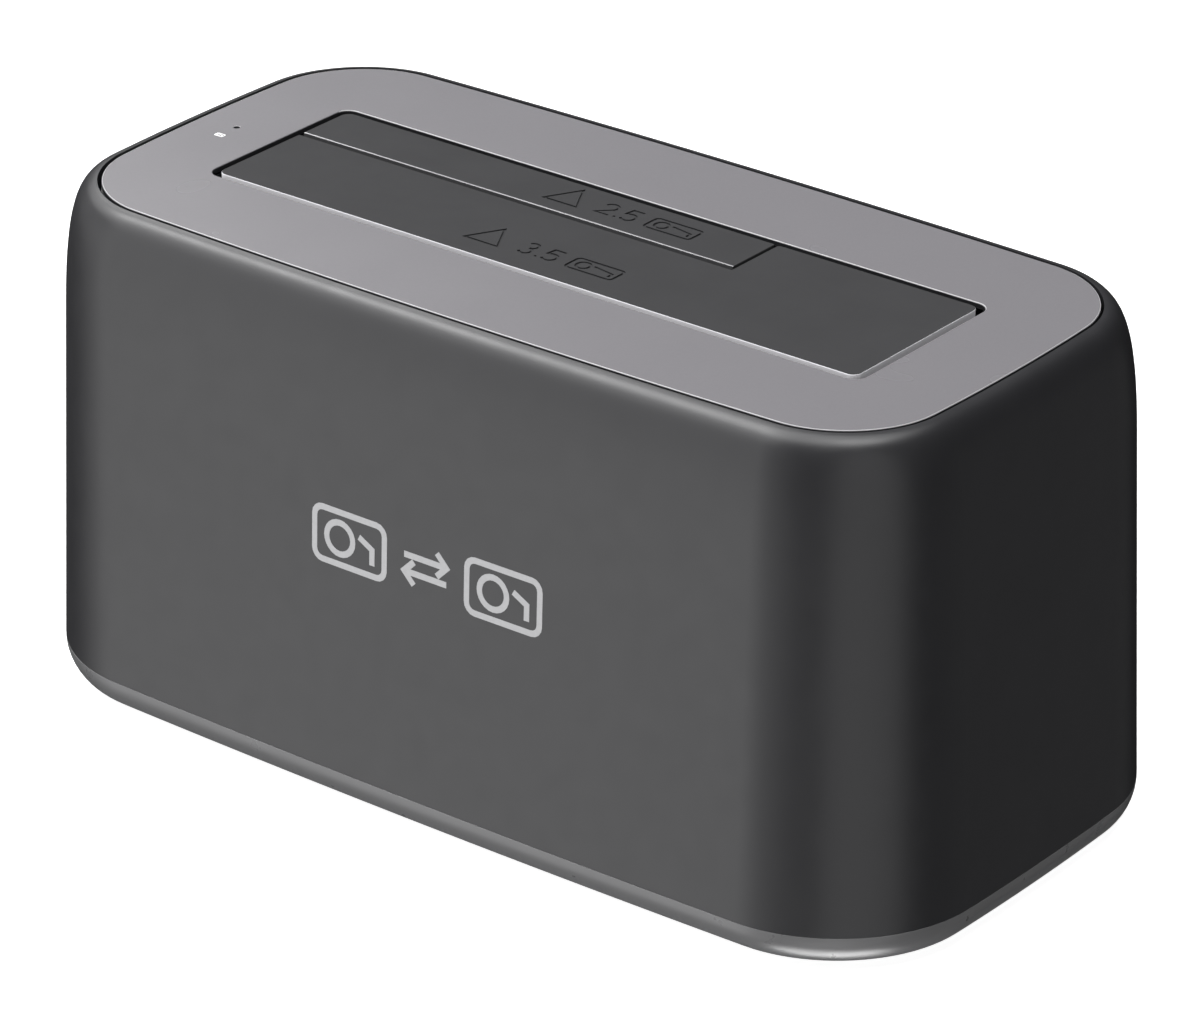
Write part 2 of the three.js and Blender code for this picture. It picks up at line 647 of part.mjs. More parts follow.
function switchBody() {
  return block([-4, 4], [-12, 0], [-6, 4]).subtract(rodY(1.7, [0, 0], [-7, 1]));
}

// Round cap with a retaining flange and a stem into the switch; its face is at y = 0.
function powerButton() {
  return joined([
    rodY(BUTTON.radius, [0, 0], [-4, 0], ROUND),
    rodY(BUTTON.radius + 0.8, [0, 0], [-BUTTON.length, 1 - BUTTON.length], ROUND),
    rodY(1.3, [0, 0], [-8.4, -4.5]),
  ]);
}

function crystalCan() {
  const can = prism(roundedRectangle(5.6, 2.3, 2.2), [0.4, 3.6], 4);
  return can.add(block([-6, 6], [-2.4, 2.4], [0, 0.6]));
}

function powerInductor() {
  return joined([block([-3.6, 3.6], [-3.6, 3.6], [0, 1]), rodZ(3.4, [0, 0], [0.8, 4], ROUND)]);
}

function capacitorCan() {
  const profile = [[0, 0.8], [3.1, 0.8], [3.1, 2.2], [2.9, 2.5], [3.1, 2.8], [3.1, 7.4], [2.8, 7.7], [0, 7.7]];
  const can = turnedZ(profile);
  return can.add(block([-3.3, 3.3], [-3.3, 3.3], [0, 1]));
}

function ledLamp() {
  return turnedZ([[0, 0], [1.9, 0], [1.9, 0.8], [1.5, 0.8], [1.5, 3.2], [1.1, 4.3], [0.5, 4.7], [0, 4.8]]);
}

// Clear stepped pin that carries the lamp's light up into the plate's pinhole.
function lightPipe() {
  return turnedZ([[0, 0], [1.4, 0], [1.4, 3], [0.32, 3], [0.32, 4], [0, 4]]);
}

function ledBoard() {
  const top = LED_BOARD_TOP;
  const board = block([-65, -55.5], [-7, 7], [top - 1.2, top]);
  return cutBy(board, LED_POST_Y.map((y) => rodZ(1.2, [LED_POST_X, y], [top - 3, top + 1])));
}

// Lead from the lamp's board down to the header on the main board.
function ledLead() {
  const route = new THREE.CatmullRomCurve3([
    new THREE.Vector3(-63.3, 0, 59.7),
    new THREE.Vector3(-63.3, 0.5, 54),
    new THREE.Vector3(-61.5, 6, 42),
    new THREE.Vector3(-59.5, 11, 28),
    new THREE.Vector3(-58, 13, 18),
    new THREE.Vector3(-56, 14.5, 13),
    new THREE.Vector3(-53, 16.5, 11.6),
    new THREE.Vector3(-50, 18.4, 12.2),
    new THREE.Vector3(-47, 19.8, 12.9),
    new THREE.Vector3(-44.2, 20, 12.9),
  ]);
  const section = new THREE.Shape();
  section.absarc(0, 0, 0.9, 0, 2 * Math.PI);
  return toSolid(new THREE.ExtrudeGeometry(section, { steps: 30, extrudePath: route, curveSegments: 4 }));
}

function ledHeader() {
  const housing = block([-3.2, 3.2], [-2.6, 2.6], [0, 5.6]);
  return housing.subtract(block([-4, 2.2], [-1.6, 1.6], [2.4, 6.6]));
}

// ---- screws ----------------------------------------------------------------------

// Pan-head screw that points along +z, with the underside of its head at z = 0.
function screw(headRadius, headHeight, shankRadius, length) {
  return turnedZ([
    [0, -headHeight],
    [headRadius * 0.7, -headHeight],
    [headRadius, -headHeight * 0.45],
    [headRadius, 0],
    [shankRadius, 0],
    [shankRadius, length - shankRadius],
    [0, length],
  ]);
}

// ---- materials ---------------------------------------------------------------------

const finish = (color, roughness, metalness = 0) => () =>
  new THREE.MeshStandardMaterial({ color, roughness, metalness });

const charcoalPlastic = finish(0x3b3b3d, 0.5);
const flapPlastic = finish(0x4a4a4c, 0.5);
const platePaint = finish(0x9b999d, 0.45, 0.3);
const basePlastic = finish(0x58585a, 0.3);
const blackPlastic = finish(0x18181a, 0.55);
const rubber = finish(0x202020, 0.9);
const steel = finish(0xb8b8b8, 0.35, 1);
const blackSteel = finish(0x2a2a2c, 0.4, 1);
const gold = finish(0xc9a24a, 0.35, 1);
const greenBoard = finish(0x1d5c3a, 0.5);
const bluePlastic = finish(0x1f5fb0, 0.45);
const epoxy = finish(0x151517, 0.5);
const clearAcrylic = finish(0xe6eef2, 0.1);
const leadJacket = finish(0x303032, 0.6);

// ---- assembly ------------------------------------------------------------------------

const group = new THREE.Group();
group.name = 'drive_dock';

function place(name, solid, material, position = [0, 0, 0], parent = group) {
  const mesh = new THREE.Mesh(toGeometry(solid), material());
  mesh.name = name;
  mesh.position.set(...position);
  parent.add(mesh);
  return mesh;
}

function placeCasing() {
  place('outer_housing', outerHousing(), charcoalPlastic);
  place('top_plate', topPlate(), platePaint);
  place('bay_frame', bayFrame(), blackPlastic);
  place('base_tray', baseTray(), basePlastic);
  fourWays(CORNER_POST).forEach(([x, y], index) => {
    place(`foot_${index + 1}`, foot(), rubber, [x, y, 0]);
    place(`base_screw_${index + 1}`, screw(...BASE_SCREW), blackSteel, [x, y, 4.3]);
  });
  fourWays(FRAME_SCREW).forEach(([x, y], index) => {
    const at = [x, y, FLANGE_TOP - 1.0];
    const mesh = place(`frame_screw_${index + 1}`, screw(...FRAME_SCREW_SIZE), blackSteel, at);
    mesh.rotation.x = Math.PI;
  });
}

function placeFlaps() {
  const hingeZ = TOP_Z - HINGE_DEPTH;
  place('large_flap', largeFlap(), flapPlastic);
  place('small_flap', smallFlap(), flapPlastic);
  place('large_flap_hinge_pin', hingePin(LARGE_CHANNEL), steel, [0, -HINGE_Y, hingeZ]);
  place('small_flap_hinge_pin', hingePin(SMALL_CHANNEL), steel, [0, HINGE_Y, hingeZ]);
  place('large_flap_spring', torsionSpring(), steel, [LARGE_SPRING_X, -HINGE_Y, hingeZ]);
  const backSpring = place('small_flap_spring', torsionSpring(), steel, [SMALL_SPRING_X, HINGE_Y, hingeZ]);
  backSpring.rotation.z = Math.PI;
}

function placeBoard() {
  place('main_board', mainBoard(), greenBoard);
  BOARD_SCREWS.forEach(([x, y], index) => {
    const mesh = place(`board_screw_${index + 1}`, screw(...BOARD_SCREW), steel, [x, y, PART_Z]);
    mesh.rotation.x = Math.PI;
  });
  const sataPlace = [SATA.x, SATA.y, PART_Z];
  place('sata_connector', sataConnector(), blackPlastic, sataPlace);
  place('sata_signal_contacts', sataContacts(7, SATA_SLOTS[0]), gold, sataPlace);
  place('sata_power_contacts', sataContacts(15, SATA_SLOTS[1]), gold, sataPlace);
  place('bridge_chip', block([-5, 5], [-5, 5], [0, 1.1]), epoxy, [18, 4, PART_Z]);
  place('firmware_chip', block([-2.6, 2.6], [-2, 2], [0, 1.6]), epoxy, [31, 3, PART_Z]);
  place('clock_crystal', crystalCan(), steel, [18, -6, PART_Z]);
  place('power_inductor', powerInductor(), epoxy, [-34, 24.5, PART_Z]);
  place('capacitor_1', capacitorCan(), steel, [-10, 24, PART_Z]);
  place('capacitor_2', capacitorCan(), steel, [17, 24, PART_Z]);
}

function placeSockets() {
  const face = IO_FACE_Y - 0.2;
  place('usb_socket_shell', usbShell(), steel, [USB.x, face, PART_Z]);
  place('usb_socket_tongue', usbTongue(), bluePlastic, [USB.x, face, PART_Z]);
  place('power_jack', dcJack(), blackPlastic, [JACK.x, face, PART_Z]);
  place('power_jack_pin', dcPin(), steel, [JACK.x, face + 3.4 - JACK.length, PART_Z + JACK.axisHeight]);
  const switchFace = BUTTON.out - BUTTON.length - BUTTON.travel - GAP;
  place('power_switch', switchBody(), blackPlastic, [BUTTON.x, switchFace, BUTTON.z]);
  place('power_button', powerButton(), blackPlastic, [BUTTON.x, BUTTON.out, BUTTON.z]);
}

function placeLamp() {
  place('led_board', ledBoard(), greenBoard);
  place('status_led', ledLamp(), clearAcrylic, [LED_X, 0, LED_BOARD_TOP + 0.1]);
  place('light_pipe', lightPipe(), clearAcrylic, [LED_X, 0, TOP_Z - 4.2]);
  LED_POST_Y.forEach((y, index) => {
    place(`led_board_screw_${index + 1}`, screw(...LED_SCREW), steel, [LED_POST_X, y, LED_BOARD_TOP - 1.5]);
  });
  place('led_lead', ledLead(), leadJacket);
  place('led_header', ledHeader(), blackPlastic, [-42, 20, PART_Z]);
}

placeCasing();
placeFlaps();
placeBoard();
placeSockets();
placeLamp();

export default group;
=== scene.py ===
"""An upright hard drive dock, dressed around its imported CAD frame.

Metres. X runs along the long side, -Y is the front and +Z is up.
"""

import math

import bmesh
import bpy
from mathutils import Matrix, Vector


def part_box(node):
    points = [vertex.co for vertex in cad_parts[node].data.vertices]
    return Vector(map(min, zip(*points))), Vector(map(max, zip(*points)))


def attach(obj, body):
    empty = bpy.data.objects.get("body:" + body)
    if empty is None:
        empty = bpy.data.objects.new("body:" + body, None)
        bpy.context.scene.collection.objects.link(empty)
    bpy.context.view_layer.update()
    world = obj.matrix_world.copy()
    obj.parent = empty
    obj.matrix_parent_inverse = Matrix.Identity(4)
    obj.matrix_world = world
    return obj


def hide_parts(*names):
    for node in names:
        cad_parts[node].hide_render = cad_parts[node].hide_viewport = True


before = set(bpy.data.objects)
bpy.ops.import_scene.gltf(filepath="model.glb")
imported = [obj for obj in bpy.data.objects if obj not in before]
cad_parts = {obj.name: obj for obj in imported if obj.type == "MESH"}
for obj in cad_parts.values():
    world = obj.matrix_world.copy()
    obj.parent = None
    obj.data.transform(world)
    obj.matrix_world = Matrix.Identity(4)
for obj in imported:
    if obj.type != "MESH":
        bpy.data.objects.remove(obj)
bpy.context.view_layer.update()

# ---- dimensions ------------------------------------------

MM = 0.001

# The body's outline grows by DRAFT times the depth below its top.
DRAFT = 0.0372
CORNER_RADIUS = 17.1 * MM
LONG_BOW = 1.36 * MM
SHORT_BOW = 1.31 * MM
WALL = 2.4 * MM
RIM_INSET = 4.0 * MM

# The soft top edge: control points of a curve, as inset and depth below the top.
FILLET = [(RIM_INSET, 0), (0.83 * MM, 0), (0, 6.4 * MM), (0, 16.7 * MM)]

HOUSING_LOW, HOUSING_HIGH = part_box("outer_housing")
PLATE_LOW, PLATE_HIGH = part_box("top_plate")
TRAY_LOW, TRAY_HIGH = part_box("base_tray")
TOP_Z = PLATE_HIGH.z
FULL_DRAFT = DRAFT * (TOP_Z - HOUSING_LOW.z)
HALF_LENGTH = HOUSING_HIGH.x - FULL_DRAFT
HALF_DEPTH = HOUSING_HIGH.y - FULL_DRAFT

# The seam between housing and tray, and how far the outline has grown there.
SEAM_Z = HOUSING_LOW.z - 0.15 * MM
DEEPEST = TOP_Z - SEAM_Z
WIDEST = DRAFT * DEEPEST
SEAM_GAP = 0.01 * MM

# The plate, with a hairline round it, and the ledge inside the housing below the plate.
PLATE_INSET = RIM_INSET + 0.48 * MM
PLATE_SHIFT = 0.15 * MM
LEDGE_Z = TOP_Z - 3.4 * MM
LEDGE_INSET = 6.6 * MM
LEDGE_THICKNESS = 1.4 * MM
INNER_WALL_DEPTH = 9.2 * MM

# Posts that take the base screws, with a rib to the wall each, and bosses for the frame screws.
POST_RADIUS = 3.4 * MM
POST_Z = (8 * MM, 24 * MM)
PILOT_RADIUS = 1.6 * MM
PILOT_Z = (7 * MM, 17 * MM)
RIB_THICKNESS = 1.8 * MM
RIB_REACH = 33.9 * MM
BOSS_RADIUS = 3 * MM
BOSS_HEIGHT = 10 * MM

# The tray's rim: control points of a curve, as inset and height, or depth below the seam.
RIM_FOOT = [(3.1 * MM, 0), (1.5 * MM, 0)]
RIM_BEND_BELOW_SEAM = 2.3 * MM
RIM_END_BELOW_SEAM = 0.06 * MM
LIP_GAP = 0.3 * MM
LIP_THICKNESS = 1.6 * MM
LIP_DROP = 0.1 * MM
TRAY_FLOOR = 3 * MM
TRAY_POST_RADIUS = 4.6 * MM
TRAY_POST_LOW = 2.5 * MM
BOARD_POST_RADIUS = 3 * MM
BOARD_POST_HIGH = 6.4 * MM
VENT_COUNT = 7
VENT_PITCH = 5 * MM
VENT_HALF_LENGTH = 14 * MM
VENT_HALF_WIDTH = 0.9 * MM
VENT_RADIUS = 0.85 * MM

# The slot, as half length and half width, and the flaps.
SLOT = (52.25 * MM, 14.0 * MM)
SLOT_RADIUS = 1.9 * MM
FLAP_X = 51.3 * MM
FLAP_Y = 12.8 * MM
FLAP_FRONT = -13.2 * MM
FLAP_LEFT = -51.0 * MM
FLAP_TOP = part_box("large_flap")[1].z
FLAP_THICKNESS = 1.6 * MM
FLAP_RADIUS = 1.3 * MM
SMALL_RIGHT = 19.8 * MM
SMALL_FRONT = 4.0 * MM
NEST_SIDE_GAP = 0.55 * MM
NEST_FRONT_GAP = 1.0 * MM
NEST_RADIUS = 0.2 * MM
NEST_END_RADIUS = 0.3 * MM
NEST_MOUTH_RADIUS = 0.5 * MM

# Softened edges.
EDGE = 0.12 * MM
FLAP_EDGE = 0.08 * MM
PLATE_EDGE = 0.12 * MM

# Hinges: their axes, and the knuckles along them.
PIN_FRONT = [(low + high) / 2 for low, high in zip(*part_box("large_flap_hinge_pin"))]
PIN_BACK = [(low + high) / 2 for low, high in zip(*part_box("small_flap_hinge_pin"))]
LARGE_KNUCKLES = (-38 * MM, 38 * MM)
SMALL_KNUCKLES = (-42 * MM, 10 * MM)
KNUCKLE_RADIUS = 1.5 * MM
KNUCKLE_HALF_LENGTH = 4.5 * MM
KNUCKLE_BORE = 0.75 * MM
KNUCKLE_INSET = 0.8 * MM
ARM_HIGH = 1.3 * MM
ARM_LOW = -0.1 * MM

# Engraved marks on the flaps; the drive's width is in numeral heights.
MARK_LEFT = -12.65 * MM
LARGE_MARK_FRONT = -9.45 * MM
SMALL_MARK_FRONT = 6.6 * MM
MARK_DEPTH = 0.2 * MM
MARK_PEN = 0.38 * MM
TRIANGLE_SIDE = 5.4 * MM
NUMERALS_FROM = 7.8 * MM
NUMERAL_STEPS = (3.15 * MM, 0.55 * MM, 3.5 * MM)
NUMERAL_HEIGHT = 3.2 * MM
NUMERAL_LIFT = 0.5 * MM
DRIVE_GAP = 0.7 * MM
ENGRAVED_DRIVE_WIDTH = 2.3

# Printed signs in front and, as left, bottom and size, beside the lamp's pinhole. A film is
# the pair of its lower and upper face.
SIGN_LEFT = -16 * MM
SIGN_BOTTOM = 34.9 * MM
SIGN_SIZE = 7.2 * MM
SIGN_PEN = 0.85 * MM
SIGN_FILM = (-0.05 * MM, 0.02 * MM)
PIPE_LOW, PIPE_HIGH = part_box("light_pipe")
LAMP_X = (PIPE_LOW.x + PIPE_HIGH.x) / 2
LAMP_SIGN = (LAMP_X - 0.62 * MM, -3.75 * MM, 0.8 * MM)
LAMP_SIGN_PEN = 0.13 * MM
LAMP_SIGN_FILM = (TOP_Z - 0.02 * MM, TOP_Z + 0.01 * MM)

# The rear panel, set in below the back face, with its socket, jack and button.
USB_LOW, USB_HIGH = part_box("usb_socket_shell")
JACK_LOW, JACK_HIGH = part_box("power_jack")
BUTTON_LOW, BUTTON_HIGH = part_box("power_button")
IO_FACE = USB_HIGH.y + 0.2 * MM
IO_X = (-36 * MM, 40 * MM)
IO_Z = (8 * MM, 24.5 * MM)
IO_RADIUS = 2 * MM
IO_THICKNESS = 2 * MM
JACK_X = (JACK_LOW.x + JACK_HIGH.x) / 2
JACK_Z = JACK_LOW.z + 5.5 * MM
JACK_WINDOW_RADIUS = 4.1 * MM
BUTTON_X = (BUTTON_LOW.x + BUTTON_HIGH.x) / 2
BUTTON_Z = (BUTTON_LOW.z + BUTTON_HIGH.z) / 2
BUTTON_WINDOW_RADIUS = 3.8 * MM

# How finely curves are divided.
CORNER_STEPS = 22
LONG_STEPS = 24
SHORT_STEPS = 12
FILLET_STEPS = 28
WALL_STEPS = 6
RIM_STEPS = 16
WINDOW_STEPS = 64
KNUCKLE_STEPS = 28


# ---- outlines --------------------------------------------

def in_mm(pairs):
    """Pairs of lengths, given in millimetres."""
    return [(first * MM, second * MM) for first, second in pairs]


def arc(centre, radius, start, end, steps):
    """Points along an arc; angles in degrees."""
    turns = [math.radians(start + (end - start) * i / steps) for i in range(steps + 1)]
    return [(centre[0] + radius * math.cos(t), centre[1] + radius * math.sin(t)) for t in turns]


def bezier(points, steps):
    """Points along a cubic curve."""
    found = []
    for i in range(steps + 1):
        t = i / steps
        weights = ((1 - t) ** 3, 3 * t * (1 - t) ** 2, 3 * t * t * (1 - t), t ** 3)
        found.append(tuple(sum(w * p[k] for w, p in zip(weights, points)) for k in (0, 1)))
    return found


def bowed(x, y, half_x, half_y):
    """A point of the plain rounded rectangle, moved out onto the bowed one."""
    out_x = SHORT_BOW * (1 - (y / half_y) ** 2) * min(1, abs(x) / half_x)
    out_y = LONG_BOW * (1 - (x / half_x) ** 2) * min(1, abs(y) / half_y)
    return x + math.copysign(out_x, x), y + math.copysign(out_y, y)


def body_ring(grow, z):
    """The body's outline in plan: round corners joined by slightly bowed sides."""
    half_x = HALF_LENGTH - SHORT_BOW + grow
    half_y = HALF_DEPTH - LONG_BOW + grow
    radius = CORNER_RADIUS + grow
    middle_x, middle_y = half_x - radius, half_y - radius
    corners = [(1, 1), (-1, 1), (-1, -1), (1, -1)]
    arcs = [arc((sx * middle_x, sy * middle_y), radius, 90 * k, 90 * k + 90, CORNER_STEPS)
            for k, (sx, sy) in enumerate(corners)]
    points = []
    for k, corner in enumerate(arcs):
        (x0, y0), (x1, y1) = corner[-1], arcs[(k + 1) % 4][0]
        steps = LONG_STEPS if k % 2 == 0 else SHORT_STEPS
        points += corner
        points += [(x0 + (x1 - x0) * i / steps, y0 + (y1 - y0) * i / steps) for i in range(1, steps)]
    return [Vector((*bowed(x, y, half_x, half_y), z)) for x, y in points]


def left_of(way):
    """A flat direction turned a quarter to the left."""
    return Vector((-way.y, way.x))


def rounded(corners, inset=0.0, steps=8):
    """A closed outline through right-angled corners (x, y, radius), anticlockwise, drawn in by inset."""
    points = []
    for k, (x, y, radius) in enumerate(corners):
        before, after = corners[k - 1], corners[(k + 1) % len(corners)]
        came = Vector((x - before[0], y - before[1])).normalized()
        goes = Vector((after[0] - x, after[1] - y)).normalized()
        outward = came.cross(goes) > 0
        bend = max(radius - inset if outward else radius + inset, 0.01 * MM)
        corner = Vector((x, y)) + (left_of(came) + left_of(goes)) * inset
        centre = corner - came * bend + goes * bend
        for i in range(steps + 1):
            t = math.pi / 2 * i / steps
            points.append(centre + (came * math.sin(t) - goes * math.cos(t)) * bend)
    return [(p.x, p.y) for p in points]


def moved(path, left, bottom, size):
    """A path of a sign that is 1 high, at its place and size."""
    return [(left + size * u, bottom + size * v) for u, v in path]


def between(x, y, radius):
    """Corners of a rectangle between pairs of coordinates, for rounded()."""
    return [(x[0], y[0], radius), (x[1], y[0], radius), (x[1], y[1], radius), (x[0], y[1], radius)]


def at_height(points, z):
    """Points of a level outline, given as (x, y)."""
    return [Vector((x, y, z)) for x, y in points]


def at_depth(points, y):
    """Points of an upright outline, given as (x, z)."""
    return [Vector((x, y, z)) for x, z in points]


def at_side(points, x):
    """Points of an outline across the object, given as (y, z)."""
    return [Vector((x, y, z)) for y, z in points]


# ---- mesh building ---------------------------------------

def skin(bm, rings, looped=False, caps=False):
    """Joins closed rings of equal length, one after the other, and caps the first and last."""
    rows = [[bm.verts.new(point) for point in ring] for ring in rings]
    following = rows[1:] + rows[:1] if looped else rows[1:]
    for low, high in zip(rows, following):
        for i in range(len(low)):
            j = (i + 1) % len(low)
            bm.faces.new((low[i], low[j], high[j], high[i]))
    if caps:
        bm.faces.new(rows[0])
        bm.faces.new(rows[-1])
    return rows


def raw_object(name, bm):
    """A mesh object with its faces turned outwards."""
    bmesh.ops.recalc_face_normals(bm, faces=bm.faces)
    mesh = bpy.data.meshes.new(name)
    bm.to_mesh(mesh)
    bm.free()
    made = bpy.data.objects.new(name, mesh)
    bpy.context.scene.collection.objects.link(made)
    return made


def solid(name, rings, looped=False):
    """A closed body through rings."""
    bm = bmesh.new()
    skin(bm, rings, looped=looped, caps=not looped)
    return raw_object(name, bm)


def combine(piece, tool, operation, overlapping=False):
    """Cuts or joins tool with piece, and removes tool."""
    step = piece.modifiers.new("combine", "BOOLEAN")
    step.object = tool
    step.operation = operation
    step.solver = "EXACT"
    step.use_self = overlapping
    bpy.context.view_layer.update()
    evaluated = piece.evaluated_get(bpy.context.evaluated_depsgraph_get())
    mesh = bpy.data.meshes.new_from_object(evaluated)
    piece.modifiers.clear()
    piece.data = mesh
    bpy.data.objects.remove(tool)
    return piece


def cut(piece, tools, overlapping=False):
    """Takes tools away from piece; overlapping says that they may cut one another."""
    return combine(piece, merged(tools), "DIFFERENCE", overlapping)


def join(piece, tools):
    """Makes tools and piece one body."""
    return combine(piece, merged(tools), "UNION")


def merged(tools):
    """Several separate bodies as one object."""
    bm = bmesh.new()
    for tool in tools:
        bm.from_mesh(tool.data)
        bpy.data.objects.remove(tool)
    return raw_object("merged", bm)


def prism(points, low, high, lay=at_height):
    """A straight prism of an outline, upright or the way that lay says."""
    return solid("prism", [lay(points, low), lay(points, high)])


def box(x, y, z):
    """A plain cutter or rib between pairs of coordinates."""
    return prism([(x[0], y[0]), (x[1], y[0]), (x[1], y[1]), (x[0], y[1])], *z)


def soft_edges(low, high, edge):
    """(inset, height) pairs up a side with softened lower and upper edges."""
    turns = [math.radians(angle) for angle in (0, 30, 60, 90)]
    lower = [(edge * (1 - math.sin(t)), low + edge * (1 - math.cos(t))) for t in turns]
    return lower + [(inset, low + high - at) for inset, at in reversed(lower)]


def slab(name, corners, low, high, edge=EDGE, lay=at_height):
    """A prism with rounded corners and softened edges at both ends."""
    sides = soft_edges(low, high, edge)
    return solid(name, [lay(rounded(corners, inset), at) for inset, at in sides])


def wire(name, path, radius):
    """A round wire swept along a path, with flat ends."""
    sides = 10
    angles = [2 * math.pi * i / sides for i in range(sides)]
    rings = []
    across = None
    for k, point in enumerate(path):
        along = (path[min(k + 1, len(path) - 1)] - path[max(k - 1, 0)]).normalized()
        across = along.orthogonal() if across is None else across - along * across.dot(along)
        across.normalize()
        side = along.cross(across)
        rings.append([point + (across * math.cos(t) + side * math.sin(t)) * radius for t in angles])
    return solid(name, rings)


def ribbon(path, width, low, high, lay=at_height, closed=False):
    """A straight-sided band of a width along a flat path."""
    count = len(path)
    left, right = [], []
    for k, point in enumerate(path):
        here = Vector(point)
        before = Vector(path[k - 1]) if closed or k else None
        after = Vector(path[(k + 1) % count]) if closed or k < count - 1 else None
        came = (here - before).normalized() if before is not None else (after - here).normalized()
        goes = (after - here).normalized() if after is not None else came
        normal = Vector((-came.y - goes.y, came.x + goes.x)).normalized()
        reach = width / 2 / max(0.5, normal.dot(Vector((-goes.y, goes.x))))
        left.append(here + normal * reach)
        right.append(here - normal * reach)
    if closed:
        rings = [lay(right, low), lay(right, high), lay(left, high), lay(left, low)]
        return solid("ribbon", rings, looped=True)
    return prism(left + right[::-1], low, high, lay)


# Turns a profile's axis from Z to the axis of this name.
AXES = {"X": Matrix(((0, 0, 1), (1, 0, 0), (0, 1, 0))),
        "Y": Matrix(((0, 1, 0), (0, 0, 1), (1, 0, 0))),
        "Z": Matrix.Identity(3)}


def turned(name, profile, centre, axis="Z", steps=48):
    """(radius, height) pairs turned about an axis through centre; they start and end on the axis."""
    bm = bmesh.new()

    def corner(radius, height, angle):
        flat = Vector((radius * math.cos(angle), radius * math.sin(angle), height))
        return bm.verts.new(Vector(centre) + AXES[axis] @ flat)

    ends = [corner(0, profile[0][1], 0), corner(0, profile[-1][1], 0)]
    angles = [2 * math.pi * i / steps for i in range(steps)]
    rows = [[corner(radius, height, angle) for angle in angles] for radius, height in profile[1:-1]]
    for low, high in zip(rows, rows[1:]):
        for i in range(steps):
            j = (i + 1) % steps
            bm.faces.new((low[i], low[j], high[j], high[i]))
    for i in range(steps):
        j = (i + 1) % steps
        bm.faces.new((ends[0], rows[0][j], rows[0][i]))
        bm.faces.new((ends[1], rows[-1][i], rows[-1][j]))
    return raw_object(name, bm)


def rod(name, radius, low, high, centre, axis="Z", steps=48):
    """A plain round bar, or a drill, from low to high along an axis through centre."""
    return turned(name, [(0, low), (radius, low), (radius, high), (0, high)], centre, axis, steps)


def rods(name, radius, low, high, places):
    """Upright rods at places in plan."""
    return [rod(name, radius, low, high, (x, y, 0)) for x, y in places]


def shaded(made):
    """Smooth shading that keeps flat faces flat and hard edges hard."""
    made.data.shade_smooth()
    made.data.set_sharp_from_angle(angle=math.radians(40))
    normals = made.modifiers.new("flat_faces_first", "WEIGHTED_NORMAL")
    normals.keep_sharp = True


def placed(made, material, body="chassis", stands_for=()):
    """Gives a raw object its finish and its body, and hides the nodes that it stands for."""
    made.data.materials.clear()
    made.data.materials.append(material)
    shaded(made)
    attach(made, body)
    if stands_for:
        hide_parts(*stands_for)
    return made


def another_finish(made, finish, chosen):
    """Gives the chosen faces another finish."""
    made.data.materials.append(finish)
    last = len(made.data.materials) - 1
    for face in made.data.polygons:
        if chosen(face):
            face.material_index = last


def centres(stem, count):
    """Where numbered nodes stand in plan."""
    found = []
    for number in range(1, count + 1):
        foot = foot_of(f"{stem}_{number}")
        found.append((foot.x, foot.y))
    return found


def foot_of(node):
    """The middle of a node's lower end."""
    low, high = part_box(node)
    return Vector(((low.x + high.x) / 2, (low.y + high.y) / 2, low.z))


# ---- materials -------------------------------------------

# Noise stays between these for the most part, so a finish spreads its range over them.
NOISE_LOW = 0.3
NOISE_HIGH = 0.7


class Nodes:
    """A material's node tree, with short calls for what the finishes here share."""

    def __init__(self, name, roughness, metallic=0.0, specular=0.5):
        self.material = bpy.data.materials.new(name)
        self.material.use_nodes = True
        self.tree = self.material.node_tree
        self.shader = self.tree.nodes["Principled BSDF"]
        self.shader.inputs["Roughness"].default_value = roughness
        self.shader.inputs["Metallic"].default_value = metallic
        self.shader.inputs["Specular IOR Level"].default_value = specular
        self.coords = self.tree.nodes.new("ShaderNodeTexCoord").outputs["Object"]

    def link(self, source, node, socket):
        """Feeds an output into a node's socket."""
        self.tree.links.new(source, node.inputs[socket])

    def stretched(self, scale):
        """The object's coordinates, scaled by axis."""
        mapping = self.tree.nodes.new("ShaderNodeMapping")
        mapping.inputs["Scale"].default_value = scale
        self.link(self.coords, mapping, "Vector")
        return mapping.outputs["Vector"]

    def noise(self, cell, detail=2.0, coords=None):
        """Noise with cells of a size in metres."""
        noise = self.tree.nodes.new("ShaderNodeTexNoise")
        noise.inputs["Scale"].default_value = 1 / cell
        noise.inputs["Detail"].default_value = detail
        self.link(coords or self.coords, noise, "Vector")
        return noise.outputs["Fac"]

    def uneven_gloss(self, noise, low, high):
        """Roughness from low to high, by noise."""
        node = self.tree.nodes.new("ShaderNodeMapRange")
        limits = {"From Min": NOISE_LOW, "From Max": NOISE_HIGH, "To Min": low, "To Max": high}
        for name, value in limits.items():
            node.inputs[name].default_value = value
        self.link(noise, node, "Value")
        self.link(node.outputs["Result"], self.shader, "Roughness")

    def blend(self, noise, first, second):
        """A colour between two, by noise."""
        ramp = self.tree.nodes.new("ShaderNodeValToRGB")
        ramp.color_ramp.elements[0].color = (*first, 1)
        ramp.color_ramp.elements[1].color = (*second, 1)
        ramp.color_ramp.elements[0].position = NOISE_LOW
        ramp.color_ramp.elements[1].position = NOISE_HIGH
        self.link(noise, ramp, "Fac")
        self.link(ramp.outputs["Color"], self.shader, "Base Color")

    def relief(self, source, depth):
        """Bump of a depth in metres, at full strength."""
        bump = self.tree.nodes.new("ShaderNodeBump")
        bump.inputs["Distance"].default_value = depth
        bump.inputs["Strength"].default_value = 1
        self.link(source, bump, "Height")
        self.link(bump.outputs["Normal"], self.shader, "Normal")


